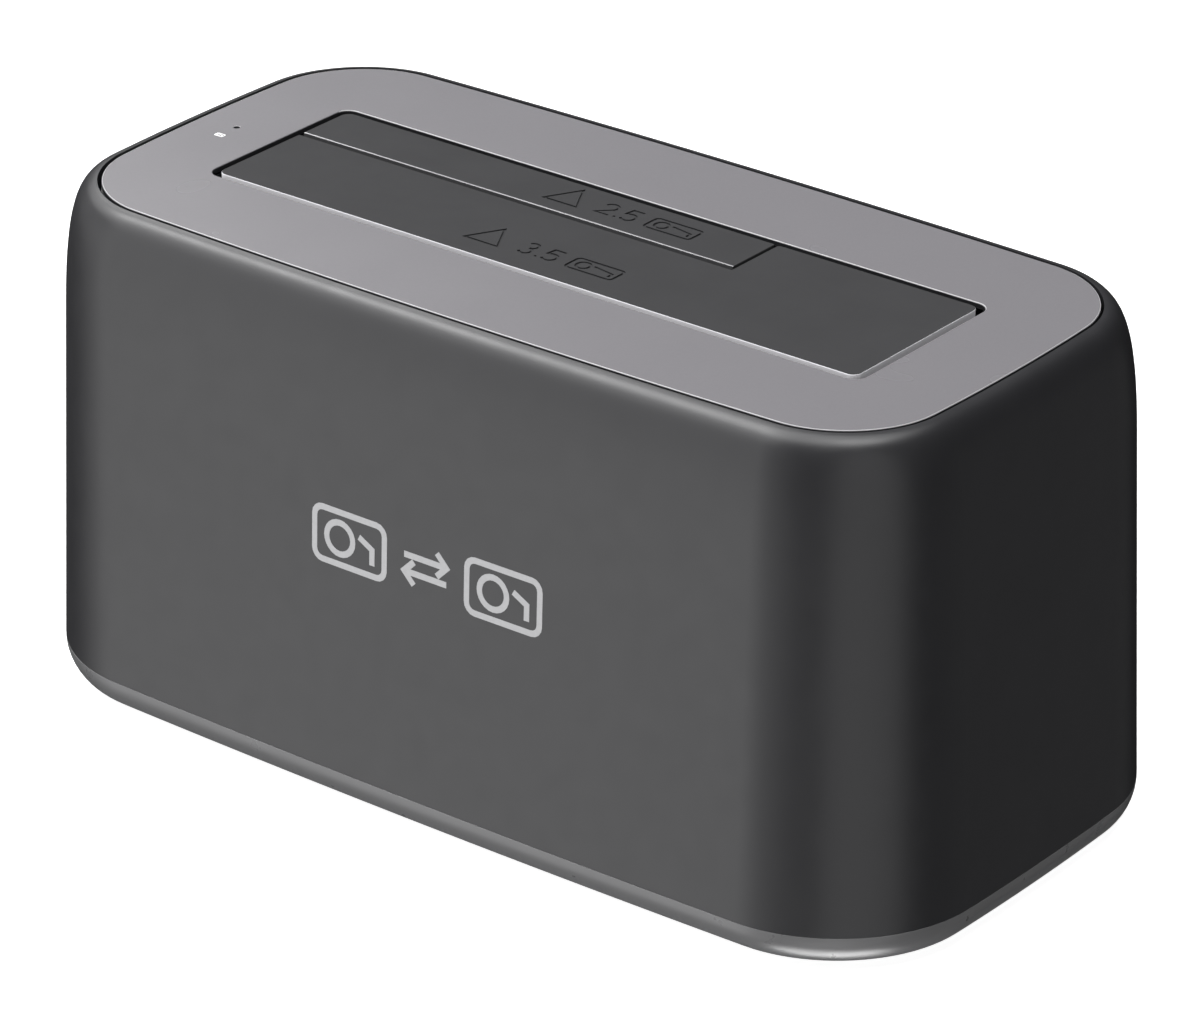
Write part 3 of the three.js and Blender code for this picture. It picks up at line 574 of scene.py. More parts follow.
def scaled(colour, by):
    """A colour made lighter or darker by a factor."""
    return tuple(min(1, c * by) for c in colour)


def moulded(name, colour, roughness, grain=0.25 * MM, relief=0.004 * MM, mottle=0.04, specular=0.5):
    """Moulded plastic: a fine spark-eroded grain, faint mottling and uneven gloss."""
    nodes = Nodes(name, roughness, specular=specular)
    nodes.blend(nodes.noise(9 * MM), scaled(colour, 1 - mottle), scaled(colour, 1 + mottle))
    nodes.uneven_gloss(nodes.noise(3 * MM, detail=3), roughness - 0.02, roughness + 0.02)
    nodes.relief(nodes.noise(grain, detail=3), relief)
    return nodes.material


def sprayed_metal(name, colour, roughness):
    """Sheet metal under a fine satin coat."""
    nodes = Nodes(name, roughness)
    nodes.blend(nodes.noise(0.3 * MM, detail=1), scaled(colour, 0.985), scaled(colour, 1.015))
    nodes.uneven_gloss(nodes.noise(12 * MM), roughness - 0.015, roughness + 0.015)
    nodes.relief(nodes.noise(0.4 * MM), 0.0015 * MM)
    return nodes.material


def drawn_metal(name, colour, roughness):
    """Bare metal with fine drawing lines along X."""
    nodes = Nodes(name, roughness, metallic=1.0)
    lines = nodes.noise(1 * MM, detail=4, coords=nodes.stretched((1, 12, 12)))
    nodes.blend(lines, scaled(colour, 0.9), scaled(colour, 1.08))
    nodes.uneven_gloss(lines, roughness - 0.05, roughness + 0.07)
    nodes.relief(lines, 0.003 * MM)
    return nodes.material


def clear_plastic(name, colour, roughness):
    """Clear plastic with a trace of flow lines."""
    nodes = Nodes(name, roughness)
    nodes.shader.inputs["Transmission Weight"].default_value = 0.9
    nodes.shader.inputs["IOR"].default_value = 1.49
    nodes.blend(nodes.noise(1.5 * MM), scaled(colour, 0.96), colour)
    nodes.relief(nodes.noise(0.8 * MM), 0.002 * MM)
    return nodes.material


def solder_resist(name):
    """Glossy green resist over faintly raised tracks."""
    nodes = Nodes(name, 0.3)
    tracks = nodes.tree.nodes.new("ShaderNodeTexBrick")
    tracks.inputs["Scale"].default_value = 1 / (9 * MM)
    tracks.inputs["Mortar Size"].default_value = 0.03
    tracks.inputs["Color1"].default_value = (0.012, 0.12, 0.05, 1)
    tracks.inputs["Color2"].default_value = (0.014, 0.13, 0.055, 1)
    tracks.inputs["Mortar"].default_value = (0.03, 0.2, 0.09, 1)
    nodes.link(nodes.coords, tracks, "Vector")
    nodes.link(tracks.outputs["Color"], nodes.shader, "Base Color")
    nodes.relief(tracks.outputs["Fac"], 0.02 * MM)
    return nodes.material


def printed_ink(name, colour):
    """Pad-printed ink with a slightly uneven film."""
    nodes = Nodes(name, 0.5)
    nodes.blend(nodes.noise(0.5 * MM), scaled(colour, 0.94), colour)
    nodes.relief(nodes.noise(0.2 * MM), 0.003 * MM)
    return nodes.material


HOUSING = moulded("charcoal_satin_plastic", (0.0212, 0.0212, 0.0232), 0.36)
FLAP = moulded("flap_satin_plastic", (0.0345, 0.0345, 0.036), 0.5, specular=0.05)
BASE = moulded("base_gloss_plastic", (0.135, 0.135, 0.138), 0.29,
               grain=1.2 * MM, relief=0.002 * MM, mottle=0.02)
PLATE = sprayed_metal("plate_satin_coat", (0.15, 0.1455, 0.155), 0.26)
EDGE_COAT = sprayed_metal("flap_edge_coat", (0.77, 0.76, 0.79), 0.4)
# A lighter colour for the plate's front-facing chamfers: a painted highlight.
PLATE_CHAMFER_HIGHLIGHT = sprayed_metal("plate_chamfer_painted_highlight", (0.34, 0.335, 0.345), 0.3)
BLACK = moulded("black_plastic", (0.018, 0.018, 0.02), 0.42)
RUBBER = moulded("foot_rubber", (0.025, 0.025, 0.025), 0.75, grain=0.5 * MM, relief=0.01 * MM)
STEEL = drawn_metal("bright_steel", (0.62, 0.61, 0.6), 0.28)
BLACK_STEEL = drawn_metal("black_steel", (0.05, 0.05, 0.053), 0.4)
GOLD = drawn_metal("gold_contacts", (0.85, 0.62, 0.25), 0.25)
BLUE = moulded("blue_insulator", (0.02, 0.11, 0.42), 0.38)
EPOXY = moulded("chip_epoxy", (0.02, 0.02, 0.022), 0.5, grain=0.15 * MM, relief=0.006 * MM)
BOARD = solder_resist("board_resist")
CLEAR = clear_plastic("clear_acrylic", (0.9, 0.94, 0.96), 0.1)
JACKET = moulded("lead_jacket", (0.03, 0.03, 0.034), 0.5)
INK = printed_ink("light_grey_ink", (0.46, 0.46, 0.47))
WHITE_INK = printed_ink("white_ink", (0.85, 0.85, 0.86))


# ---- casing ----------------------------------------------

def housing():
    """The leaning sleeve with its soft top edge, rear recess and windows."""
    fillet = [(DRAFT * depth - inset, TOP_Z - depth) for inset, depth in bezier(FILLET, FILLET_STEPS)]
    fillet_depth = FILLET[-1][1]
    depths = [fillet_depth + (DEEPEST - fillet_depth) * k / WALL_STEPS for k in range(1, WALL_STEPS)]
    wall = [(DRAFT * depth, TOP_Z - depth) for depth in depths]
    foot = [(WIDEST, SEAM_Z + 0.12 * MM), (WIDEST - 0.05 * MM, SEAM_Z)]
    lip = [(-RIM_INSET, TOP_Z - 0.1 * MM)]
    inside = [(WIDEST - WALL, SEAM_Z), (DRAFT * INNER_WALL_DEPTH - WALL, TOP_Z - INNER_WALL_DEPTH),
              (-LEDGE_INSET, LEDGE_Z - LEDGE_THICKNESS), (-LEDGE_INSET, LEDGE_Z), (-RIM_INSET, LEDGE_Z)]
    profile = foot[::-1] + wall[::-1] + fillet[::-1] + lip + inside[::-1]
    sleeve = solid("housing_shell", [body_ring(grow, z) for grow, z in profile], looped=True)
    base_screws = centres("base_screw", 4)
    half = RIB_THICKNESS / 2
    posts = rods("post", POST_RADIUS, *POST_Z, base_screws)
    ribs = [box((x - half, x + half), sorted((y, math.copysign(RIB_REACH, y))), POST_Z)
            for x, y in base_screws]
    bosses = rods("boss", BOSS_RADIUS, LEDGE_Z - BOSS_HEIGHT, LEDGE_Z - 0.1 * MM, centres("frame_screw", 4))
    panel = prism(rounded(between(IO_X, IO_Z, IO_RADIUS)), IO_FACE - IO_THICKNESS, IO_FACE, at_depth)
    for group in (posts, ribs, bosses, [panel]):
        join(sleeve, group)
    cut(sleeve, rods("hole", PILOT_RADIUS, *PILOT_Z, base_screws) + [io_recess()])
    return placed(cut(sleeve, io_windows()), HOUSING, stands_for=["outer_housing"])


def io_recess():
    """The recess's cutter, with a little draft outwards."""
    corners = between(IO_X, IO_Z, IO_RADIUS)
    floor = at_depth(rounded(corners, 0.3 * MM), IO_FACE)
    mouth = at_depth(rounded(corners, -0.1 * MM), IO_FACE + 4 * MM)
    return solid("recess", [floor, mouth])


def io_windows():
    """Cutters for the socket, the jack and the button."""
    back, front = IO_FACE - 3 * MM, IO_FACE + 1 * MM
    beside, below, above = 0.4 * MM, 0.3 * MM, 0.5 * MM
    socket = between((USB_LOW.x - beside, USB_HIGH.x + beside),
                     (USB_LOW.z - below, USB_HIGH.z + above), 0.6 * MM)
    last = 360 - 360 / WINDOW_STEPS
    outlines = [rounded(socket),
                arc((JACK_X, JACK_Z), JACK_WINDOW_RADIUS, 0, last, WINDOW_STEPS - 1),
                arc((BUTTON_X, BUTTON_Z), BUTTON_WINDOW_RADIUS, 0, last, WINDOW_STEPS - 1)]
    return [prism(outline, back, front, at_depth) for outline in outlines]


def is_upright(face):
    """A side wall of the plate, the slot or the pinhole."""
    return abs(face.normal.z) < 0.2


def on_painted_highlight_chamfer(face):
    """A chamfer of the plate that faces the front, or stands beyond the slot's ends; these get a lighter
    colour as a painted highlight.
    """
    chamfer = 0.2 <= face.normal.z < 0.98
    return chamfer and (face.normal.y < -0.1 or abs(face.center.x) > SLOT[0] + SLOT_RADIUS)


def top_plate():
    """The inset plate with its slot and the lamp's pinhole."""
    bm = bmesh.new()
    sides = soft_edges(PLATE_LOW.z, PLATE_HIGH.z, PLATE_EDGE)
    shift = Vector((0, PLATE_SHIFT, 0))
    outer = skin(bm, [[point + shift for point in body_ring(-PLATE_INSET - inset, z)] for inset, z in sides])
    opening = between((-SLOT[0], SLOT[0]), (-SLOT[1], SLOT[1]), SLOT_RADIUS)
    slot = skin(bm, [at_height(rounded(opening, -inset), z) for inset, z in sides])
    for row in (0, -1):
        loops = outer[row] + slot[row]
        edges = {e for v in loops for e in v.link_edges if e.verts[0] in loops and e.verts[1] in loops}
        bmesh.ops.triangle_fill(bm, edges=list(edges), use_beauty=True)
    plate = raw_object("cover_plate", bm)
    pinhole = in_mm([(0, -1), (0.44, -1), (0.44, -0.06), (0.5, 0.01), (0, 0.01)])
    cut(plate, [turned("hole", pinhole, (LAMP_X, 0, TOP_Z), steps=32)])
    placed(plate, PLATE, stands_for=["top_plate"])
    another_finish(plate, BLACK, is_upright)
    # The front-facing chamfers are painted lighter than the plate, as a painted highlight.
    another_finish(plate, PLATE_CHAMFER_HIGHLIGHT, on_painted_highlight_chamfer)


def base_tray():
    """The glossier tray whose rim curves in below the sleeve."""
    height = SEAM_Z - TRAY_LOW.z
    side = [(0, height - RIM_BEND_BELOW_SEAM), (0, height - RIM_END_BELOW_SEAM)]
    outer = [(WIDEST - inset, TRAY_LOW.z + up) for inset, up in bezier(RIM_FOOT + side, RIM_STEPS)]
    shoulder = SEAM_Z - SEAM_GAP
    lip = WIDEST - WALL - LIP_GAP
    lip_high = TRAY_HIGH.z - LIP_DROP
    profile = outer + [(WIDEST - RIM_END_BELOW_SEAM, shoulder), (lip, shoulder), (lip, lip_high),
                       (lip - LIP_THICKNESS, lip_high), (lip - LIP_THICKNESS, TRAY_FLOOR)]
    tray = solid("base_shell", [body_ring(grow, z) for grow, z in profile])
    corners = centres("foot", 4)
    posts = rods("post", TRAY_POST_RADIUS, TRAY_POST_LOW, TRAY_HIGH.z, corners)
    posts += rods("post", BOARD_POST_RADIUS, TRAY_POST_LOW, BOARD_POST_HIGH, centres("board_screw", 3))
    join(tray, posts)
    length = (-VENT_HALF_LENGTH, VENT_HALF_LENGTH)
    rows = [VENT_PITCH * (row - VENT_COUNT // 2) for row in range(VENT_COUNT)]
    vents = [slab("vent", between(length, (y - VENT_HALF_WIDTH, y + VENT_HALF_WIDTH), VENT_RADIUS), 0, 4 * MM)
             for y in rows]
    pocket = in_mm([(0, 0), (5.3, 0), (5.3, 2.2), (3, 2.2), (3, 4.6), (1.6, 4.6), (1.6, 9), (0, 9)])
    pockets = [turned("pocket", pocket, (x, y, 0)) for x, y in corners]
    return placed(cut(tray, vents + pockets), BASE, stands_for=["base_tray"])


def feet():
    """Rubber feet with a rounded edge and a shallow ring groove."""
    profile = in_mm([(0, 0.12), (1.6, 0.12), (1.8, 0), (3.0, 0), (3.2, 0.22), (3.5, 0.22), (3.7, 0), (4.5, 0),
                     (4.85, 0.12), (5, 0.45), (5, 1.9), (0, 1.9)])
    for number, (x, y) in enumerate(centres("foot", 4), 1):
        made = turned(f"rubber_foot_{number}", profile, (x, y, 0))
        placed(made, RUBBER, stands_for=[f"foot_{number}"])


# ---- flaps -----------------------------------------------

def knuckle(x, pin, inner_y):
    """An arm from below the flap to a barrel round the pin."""
    side = math.copysign(1, inner_y - pin[1])
    reach = abs(inner_y - pin[1])
    start = math.degrees(math.asin(ARM_HIGH / KNUCKLE_RADIUS))
    end = math.degrees(math.asin(ARM_LOW / KNUCKLE_RADIUS)) + 360
    barrel = arc((0, 0), KNUCKLE_RADIUS, start, end, KNUCKLE_STEPS)
    outline = [(reach, ARM_HIGH)] + barrel + [(reach, ARM_LOW)]
    section = [(pin[1] + side * y, pin[2] + z) for y, z in outline]
    ends = (x - KNUCKLE_HALF_LENGTH, x + KNUCKLE_HALF_LENGTH)
    return solid("knuckle", [at_side(section, end) for end in ends])


def bored(flap, places, pin):
    """Knuckles joined to a flap and bored for the pin."""
    inner_y = math.copysign(FLAP_Y - KNUCKLE_INSET, pin[1])
    join(flap, [knuckle(x, pin, inner_y) for x in places])
    half = 2 * KNUCKLE_HALF_LENGTH
    cut(flap, [rod("bore", KNUCKLE_BORE, -half, half, (x, pin[1], pin[2]), "X", steps=24) for x in places])


def glyph(kind):
    """Strokes of a plain numeral or point in a box 0.72 wide and 1 high."""
    strokes = {"2": [arc((0.36, 0.7), 0.3, 165, -35, 12) + [(0.04, 0), (0.72, 0)]],
               "3": [arc((0.33, 0.75), 0.25, 150, -90, 10), arc((0.33, 0.25), 0.27, 92, -150, 12)],
               "5": [[(0.66, 1), (0.12, 1), (0.06, 0.56)] + arc((0.34, 0.32), 0.32, 125, -145, 14)],
               ".": [[(0, 0), (0, 0.1)]]}
    return strokes[kind]


def drive_sign(width=1.6):
    """A generic drive, 1 high: closed loops for its case and disc, and a line for its arm."""
    case = rounded(between((0, width), (0, 1), 0.18), steps=4)
    disc = arc((0.58, 0.5), 0.3, 0, 345, 23)
    arm = [(width - 0.28, 0.2), (width - 0.28, 0.5), (1.02, 0.66)]
    return [case, disc], [arm]


def marks(front, numerals):
    """Cutters for a pointing triangle, a size and a drive, engraved in a flap."""
    low, high = FLAP_TOP - MARK_DEPTH, FLAP_TOP + MARK_DEPTH
    triangle = [(0, 0), (1, 0), (0.5, 0.9)]
    cutters = [ribbon(moved(triangle, MARK_LEFT, front, TRIANGLE_SIDE), MARK_PEN, low, high, closed=True)]
    line = front + NUMERAL_LIFT
    x = MARK_LEFT + NUMERALS_FROM
    for kind, step in zip(numerals, NUMERAL_STEPS):
        strokes = [moved(stroke, x, line, NUMERAL_HEIGHT) for stroke in glyph(kind)]
        cutters += [ribbon(stroke, MARK_PEN, low, high) for stroke in strokes]
        x += step
    loops, arms = drive_sign(ENGRAVED_DRIVE_WIDTH)
    place = (x + DRIVE_GAP, line, NUMERAL_HEIGHT)
    cutters += [ribbon(moved(loop, *place), MARK_PEN, low, high, closed=True) for loop in loops]
    cutters += [ribbon(moved(arm, *place), MARK_PEN, low, high) for arm in arms]
    return cutters


def on_coated_edge(face):
    """A side of the large flap's front or right edge."""
    side = abs(face.normal.z) < 0.9 and face.center.z > FLAP_TOP - FLAP_THICKNESS
    band = FLAP_RADIUS * 0.6
    return side and (face.center.y < FLAP_FRONT + band or face.center.x > FLAP_X - band)


def large_flap():
    """The L-shaped cover of the slot."""
    inner = SMALL_RIGHT + NEST_SIDE_GAP
    nest = SMALL_FRONT - NEST_FRONT_GAP
    corners = [(FLAP_LEFT, FLAP_FRONT, FLAP_RADIUS), (FLAP_X, FLAP_FRONT, FLAP_RADIUS),
               (FLAP_X, FLAP_Y, FLAP_RADIUS), (inner, FLAP_Y, NEST_MOUTH_RADIUS),
               (inner, nest, NEST_RADIUS), (FLAP_LEFT, nest, NEST_END_RADIUS)]
    flap = slab("slot_flap", corners, FLAP_TOP - FLAP_THICKNESS, FLAP_TOP, FLAP_EDGE)
    bored(flap, LARGE_KNUCKLES, PIN_FRONT)
    cut(flap, marks(LARGE_MARK_FRONT, "3.5"), overlapping=True)
    placed(flap, FLAP, body="large_flap", stands_for=["large_flap"])
    another_finish(flap, EDGE_COAT, on_coated_edge)


def on_highlight_front_chamfer(face):
    """The narrow chamfer along the small flap's front, painted in the plate's lighter colour as a painted
    highlight.
    """
    return 0.7 < face.normal.z < 0.95 and face.normal.y < -0.3


def small_flap():
    """The nested cover for small drives; its front leans back and ends in a chamfer painted in the plate's
    colour as a painted highlight.
    """
    # The front runs out by toe at drop below the top; the chamfer falls by rise over run.
    toe, drop, rise, run = 0.25 * MM, 0.8 * MM, 0.08 * MM, 0.14 * MM
    clear = 1 * MM
    front = SMALL_FRONT - toe
    corners = [(FLAP_LEFT, front, NEST_END_RADIUS), (SMALL_RIGHT, front, NEST_RADIUS),
               (SMALL_RIGHT, FLAP_Y, NEST_END_RADIUS), (FLAP_LEFT, FLAP_Y, FLAP_RADIUS)]
    flap = slab("nested_flap", corners, FLAP_TOP - FLAP_THICKNESS, FLAP_TOP, FLAP_EDGE)
    section = [(front - clear, FLAP_TOP - drop), (front, FLAP_TOP - drop), (SMALL_FRONT, FLAP_TOP - rise),
               (SMALL_FRONT + run, FLAP_TOP), (SMALL_FRONT + run, FLAP_TOP + clear),
               (front - clear, FLAP_TOP + clear)]
    ends = (-FLAP_X - clear, SMALL_RIGHT + clear)
    cut(flap, [solid("wedge", [at_side(section, end) for end in ends])])
    bored(flap, SMALL_KNUCKLES, PIN_BACK)
    cut(flap, marks(SMALL_MARK_FRONT, "2.5"), overlapping=True)
    placed(flap, FLAP, body="small_flap", stands_for=["small_flap"])
    # The front chamfer gets the plate's lighter colour: a painted highlight.
    another_finish(flap, PLATE, on_highlight_front_chamfer)


# ---- prints ----------------------------------------------

def front_face(x, z, proud):
    """A point on the front wall, proud of it by a little."""
    grow = DRAFT * (TOP_Z - z)
    half_x, half_y = HALF_LENGTH - SHORT_BOW + grow, HALF_DEPTH - LONG_BOW + grow
    return Vector((x, -half_y - LONG_BOW * (1 - (x / half_x) ** 2) - proud, z))


def on_front(points, proud):
    """Points of a flat outline, given as (x, z), laid on the front wall."""
    return [front_face(x, z, proud) for x, z in points]


def film(loops, lines, place, pen, faces, lay, finish):
    """A sign's lines and closed loops, printed as one thin film between two faces."""
    parts = [ribbon(moved(line, *place), pen, *faces, lay) for line in lines]
    parts += [ribbon(moved(loop, *place), pen, *faces, lay, closed=True) for loop in loops]
    made = parts[0]
    for part in parts[1:]:
        combine(made, part, "UNION")
    return placed(made, finish)


def prints():
    """Generic signs: two drives with transfer arrows in front, and a small drive beside the lamp."""
    drive = drive_sign()
    arrows = [[(2.05, 0.66), (3.0, 0.66)], [(2.05, 0.34), (3.0, 0.34)],
              [(2.78, 0.88), (3.0, 0.66), (2.78, 0.44)], [(2.27, 0.56), (2.05, 0.34), (2.27, 0.12)]]
    for start, sign in ((0, drive), (3.45, drive), (0, ([], arrows))):
        place = (SIGN_LEFT + SIGN_SIZE * start, SIGN_BOTTOM, SIGN_SIZE)
        film(*sign, place, SIGN_PEN, SIGN_FILM, on_front, INK)
    film(*drive, LAMP_SIGN, LAMP_SIGN_PEN, LAMP_SIGN_FILM, at_height, WHITE_INK)


# ---- hinges ----------------------------------------------

def hinge_pin(node):
    """A ground pin with chamfered ends."""
    low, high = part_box(node)
    radius, half = (high.y - low.y) / 2, (high.x - low.x) / 2
    chamfer = 0.15 * MM
    profile = [(0, -half), (radius - chamfer, -half), (radius, chamfer - half),
               (radius, half - chamfer), (radius - chamfer, half), (0, half)]
    made = turned(f"{node}_ground", profile, (low + high) / 2, "X", steps=32)
    placed(made, STEEL, stands_for=[node])


def hinge_spring(node, body, pin, towards):
    """A torsion spring: some turns round the pin and a straight leg towards the slot."""
    low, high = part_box(node)
    turns, coil, thick = 4, 1.25 * MM, 0.25 * MM
    width = high.x - low.x - 2 * thick
    leg = high.y - low.y - coil - 2 * thick
    leg_steps = 4
    steps = 24 * turns
    start = Vector(((low.x + high.x) / 2, pin[1], pin[2]))
    path = []
    for k in range(steps + 1):
        angle = 2 * math.pi * turns * k / steps - math.pi / 2
        path.append(start + Vector((towards * width * (k / steps - 0.5), towards * coil * math.cos(angle),
                                    coil * math.sin(angle))))
    path += [path[-1] + Vector((0, towards * leg * k / leg_steps, 0)) for k in range(1, leg_steps + 1)]
    placed(wire(f"{node}_wound", path, thick), STEEL, body=body, stands_for=[node])


# ---- fasteners -------------------------------------------

def screw(node, finish, head_height, shank, head_up):
    """A pan-head screw with a cross recess and a thread."""
    low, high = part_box(node)
    middle = (low + high) / 2
    head, length = (high.x - low.x) / 2, high.z - low.z
    pan = [(0, 0), (0.68, 0), (0.9, 0.25), (1, 0.6), (1, 1)]
    profile = [(head * r, head_height * h) for r, h in pan] + [(shank, head_height)]
    pitch = 0.5 * MM
    root, taper = shank * 0.82, shank * 0.8
    turns = int((length - head_height - shank) / pitch)
    for k in range(turns):
        at = head_height + pitch * (k + 0.5)
        profile += [(shank, at), (root, at + pitch / 2)]
    profile += [(taper, length - shank), (0.1 * MM, length - 0.02 * MM), (0, length)]
    end, way = (high.z, -1) if head_up else (low.z, 1)
    upright = [(r, end + way * h) for r, h in profile]
    made = turned(f"{node}_driven", upright, (middle.x, middle.y, 0), steps=28)
    depth = sorted((end - way * 0.1 * MM, end + way * head_height * 0.55))
    arm, half = head * 0.55, head * 0.11
    bars = [box((middle.x - a, middle.x + a), (middle.y - b, middle.y + b), depth)
            for a, b in ((arm, half), (half, arm))]
    placed(cut(made, [join(bars[0], bars[1:])]), finish, stands_for=[node])


def screws():
    """All four kinds of screw; the head's height and the shank's radius are in millimetres."""
    kinds = [("base_screw", 4, BLACK_STEEL, "black_steel", 1.8, 1.25, False),
             ("frame_screw", 4, BLACK_STEEL, "black_steel", 0.9, 0.95, True),
             ("board_screw", 3, STEEL, "steel", 1.4, 1.0, True),
             ("led_board_screw", 2, STEEL, "steel", 0.9, 0.8, False)]
    for stem, count, finish, slot, head_height, shank, head_up in kinds:
        for number in range(1, count + 1):
            screw(f"{stem}_{number}", finish, head_height * MM, shank * MM, head_up)


# ---- rear inlets and button ------------------------------

def power_jack():
    """A barrel jack with its centre pin."""
    face = JACK_HIGH.y
    half = 4.5 * MM
    corners = between((JACK_X - half, JACK_X + half), (JACK_LOW.z, JACK_HIGH.z), 0.4 * MM)
    block = slab("jack_body", corners, JACK_LOW.y, face - 2.4 * MM, lay=at_depth)
    barrel = in_mm([(0, -3), (3.7, -3), (3.7, -0.3), (3.6, -0.1), (3.4, 0), (0, 0)])
    bore = in_mm([(0, -10), (3.15, -10), (3.15, -0.35), (3.4, 0.1), (0, 0.1)])
    join(block, [turned("barrel", barrel, (JACK_X, face, JACK_Z), "Y")])
    cut(block, [turned("bore", bore, (JACK_X, face, JACK_Z), "Y")])
    placed(block, BLACK, stands_for=["power_jack"])
    low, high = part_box("power_jack_pin")
    length, radius = high.y - low.y, (high.x - low.x) / 2
    nose = [(x, length - radius + y) for x, y in arc((0, 0), radius, 0, 60, 2)]
    pin = [(0, 0), (radius, 0)] + nose + [(0, length)]
    made = turned("jack_contact_pin", pin, (JACK_X, low.y, JACK_Z), "Y")
    placed(made, STEEL, stands_for=["power_jack_pin"])


def power_button():
    """A push button with a stem, a flange, a dished face and the usual sign for power."""
    profile = in_mm([(0, -8.4), (1.2, -8.4), (1.3, -8.3), (1.3, -4.9), (4.2, -4.9), (4.2, -3.9), (3.4, -3.85),
                     (3.4, -0.4), (3.28, -0.12), (3.0, 0), (2.6, -0.05), (1.4, -0.16), (0, -0.2)])
    made = turned("round_button", profile, (BUTTON_X, BUTTON_HIGH.y, BUTTON_Z), "Y")
    low, high = BUTTON_HIGH.y - 0.35 * MM, BUTTON_HIGH.y + 0.2 * MM
    ring = arc((BUTTON_X, BUTTON_Z - 0.1 * MM), 1.3 * MM, 125, 415, 28)
    bar = [(BUTTON_X, BUTTON_Z + 0.3 * MM), (BUTTON_X, BUTTON_Z + 1.6 * MM)]
    cut(made, [ribbon(path, 0.32 * MM, low, high, at_depth) for path in (ring, bar)])
    placed(made, BLACK, body="power_button", stands_for=["power_button"])


# ---- lamp and board parts --------------------------------

def standing(name, node, profile, finish):
    """A turned part on a node's axis; heights run up from the node's lower end, in millimetres."""
    made = turned(name, in_mm(profile), foot_of(node), steps=40)
    return placed(made, finish, stands_for=[node])


def lamp():
    """The light pipe under the pinhole and the lamp that feeds it."""
    pipe = [(0, 0), (1.3, 0), (1.4, 0.1), (1.4, 2.9), (1.3, 3), (0.32, 3), (0.32, 3.85), (0.2, 3.98), (0, 4)]
    standing("pinhole_light_pipe", "light_pipe", pipe, CLEAR)
    flange = [(0, 0), (1.8, 0), (1.9, 0.1), (1.9, 0.8), (1.5, 0.85)]
    dome = arc((0, 3.3), 1.5, 0, 75, 5)
    standing("round_lamp", "status_led", flange + dome + [(0, 4.8)], CLEAR)


def seat(node, radius, height):
    """The flat base of a board part, as large as its node in plan."""
    low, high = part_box(node)
    return slab("seat", between((low.x, high.x), (low.y, high.y), radius), low.z, low.z + height)


def board_parts():
    """Cans, coil and crystal, which are round."""
    can = in_mm([(0, 0.8), (3.0, 0.8), (3.1, 0.9), (3.1, 2.1), (2.92, 2.35), (2.9, 2.5), (2.92, 2.65),
                 (3.1, 2.9), (3.1, 7.35), (3.0, 7.6), (2.75, 7.7), (2.3, 7.66), (0, 7.66)])
    for node in ("capacitor_1", "capacitor_2"):
        made = turned(f"{node}_can", can, foot_of(node))
        placed(join(made, [seat(node, 0.7 * MM, 1 * MM)]), STEEL, stands_for=[node])
    coil = in_mm([(0, 0.8), (3.4, 0.8), (3.4, 1.5), (3.1, 1.7), (3.1, 3.2), (3.4, 3.4), (3.4, 3.9), (3.3, 4),
                  (0, 4)])
    made = turned("drum_inductor", coil, foot_of("power_inductor"))
    join(made, [seat("power_inductor", 0.5 * MM, 1 * MM)])
    placed(made, EPOXY, stands_for=["power_inductor"])
    low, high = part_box("clock_crystal")
    end, side, rise = 0.4 * MM, 0.1 * MM, 0.4 * MM
    corners = between((low.x + end, high.x - end), (low.y + side, high.y - side), 2.2 * MM)
    made = slab("crystal_can", corners, low.z + rise, high.z, edge=0.3 * MM)
    join(made, [seat("clock_crystal", 2.3 * MM, 0.6 * MM)])
    placed(made, STEEL, stands_for=["clock_crystal"])


# ---- CAD nodes that keep their shape ---------------------

KEPT = {"bay_frame": BLACK, "main_board": BOARD, "led_board": BOARD,
        "sata_connector": BLACK, "sata_signal_contacts": GOLD, "sata_power_contacts": GOLD,
        "bridge_chip": EPOXY, "firmware_chip": EPOXY, "usb_socket_shell": STEEL, "usb_socket_tongue": BLUE,
        "power_switch": BLACK, "led_lead": JACKET, "led_header": BLACK}


def finish_kept_nodes():
    """Finishes and softened edges for the nodes whose shape is right already."""
    for node, finish in KEPT.items():
        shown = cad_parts[node]
        for place in shown.material_slots:
            place.material = finish
        weld = shown.modifiers.new("weld", "WELD")
        weld.merge_threshold = 0.01 * MM
        if node != "led_lead":
            bevel = shown.modifiers.new("soft_edges", "BEVEL")
            bevel.width = EDGE
            bevel.segments = 2
            bevel.limit_method = "ANGLE"
            bevel.angle_limit = math.radians(35)
        shaded(shown)


# ---- camera, light and floor -----------------------------

# Focal length in millimetres, direction of view as azimuth and elevation, and the camera's
# distance from the middle of the top and its shift to the right and up, in metres.
LENS = 182.95
VIEW = (38.2525, 26.040)
VIEW_DISTANCE = 0.771655
VIEW_RIGHT = 0.0013708
VIEW_UP = -0.0350567


def direction(azimuth, elevation):
    """Unit vector towards a place round the object; azimuth 0 is in front and 90 at the right."""
    a, e = math.radians(azimuth), math.radians(elevation)
    return Vector((math.sin(a) * math.cos(e), -math.cos(a) * math.cos(e), math.sin(e)))


def add_camera():
    """The long lens that sees the object from the front right and above."""
    back = direction(*VIEW)
    right = Vector((math.cos(math.radians(VIEW[0])), math.sin(math.radians(VIEW[0])), 0))
    camera = bpy.data.cameras.new("camera")
    camera.lens = LENS
    camera.sensor_width = 36
    camera.clip_start = 0.01
    eye = bpy.data.objects.new("camera", camera)
    aside = right * VIEW_RIGHT + back.cross(right) * VIEW_UP
    eye.location = Vector((0, 0, TOP_Z)) + aside + back * VIEW_DISTANCE
    eye.rotation_euler = (-back).to_track_quat("-Z", "Y").to_euler()
    bpy.context.scene.collection.objects.link(eye)
    bpy.context.scene.camera = eye


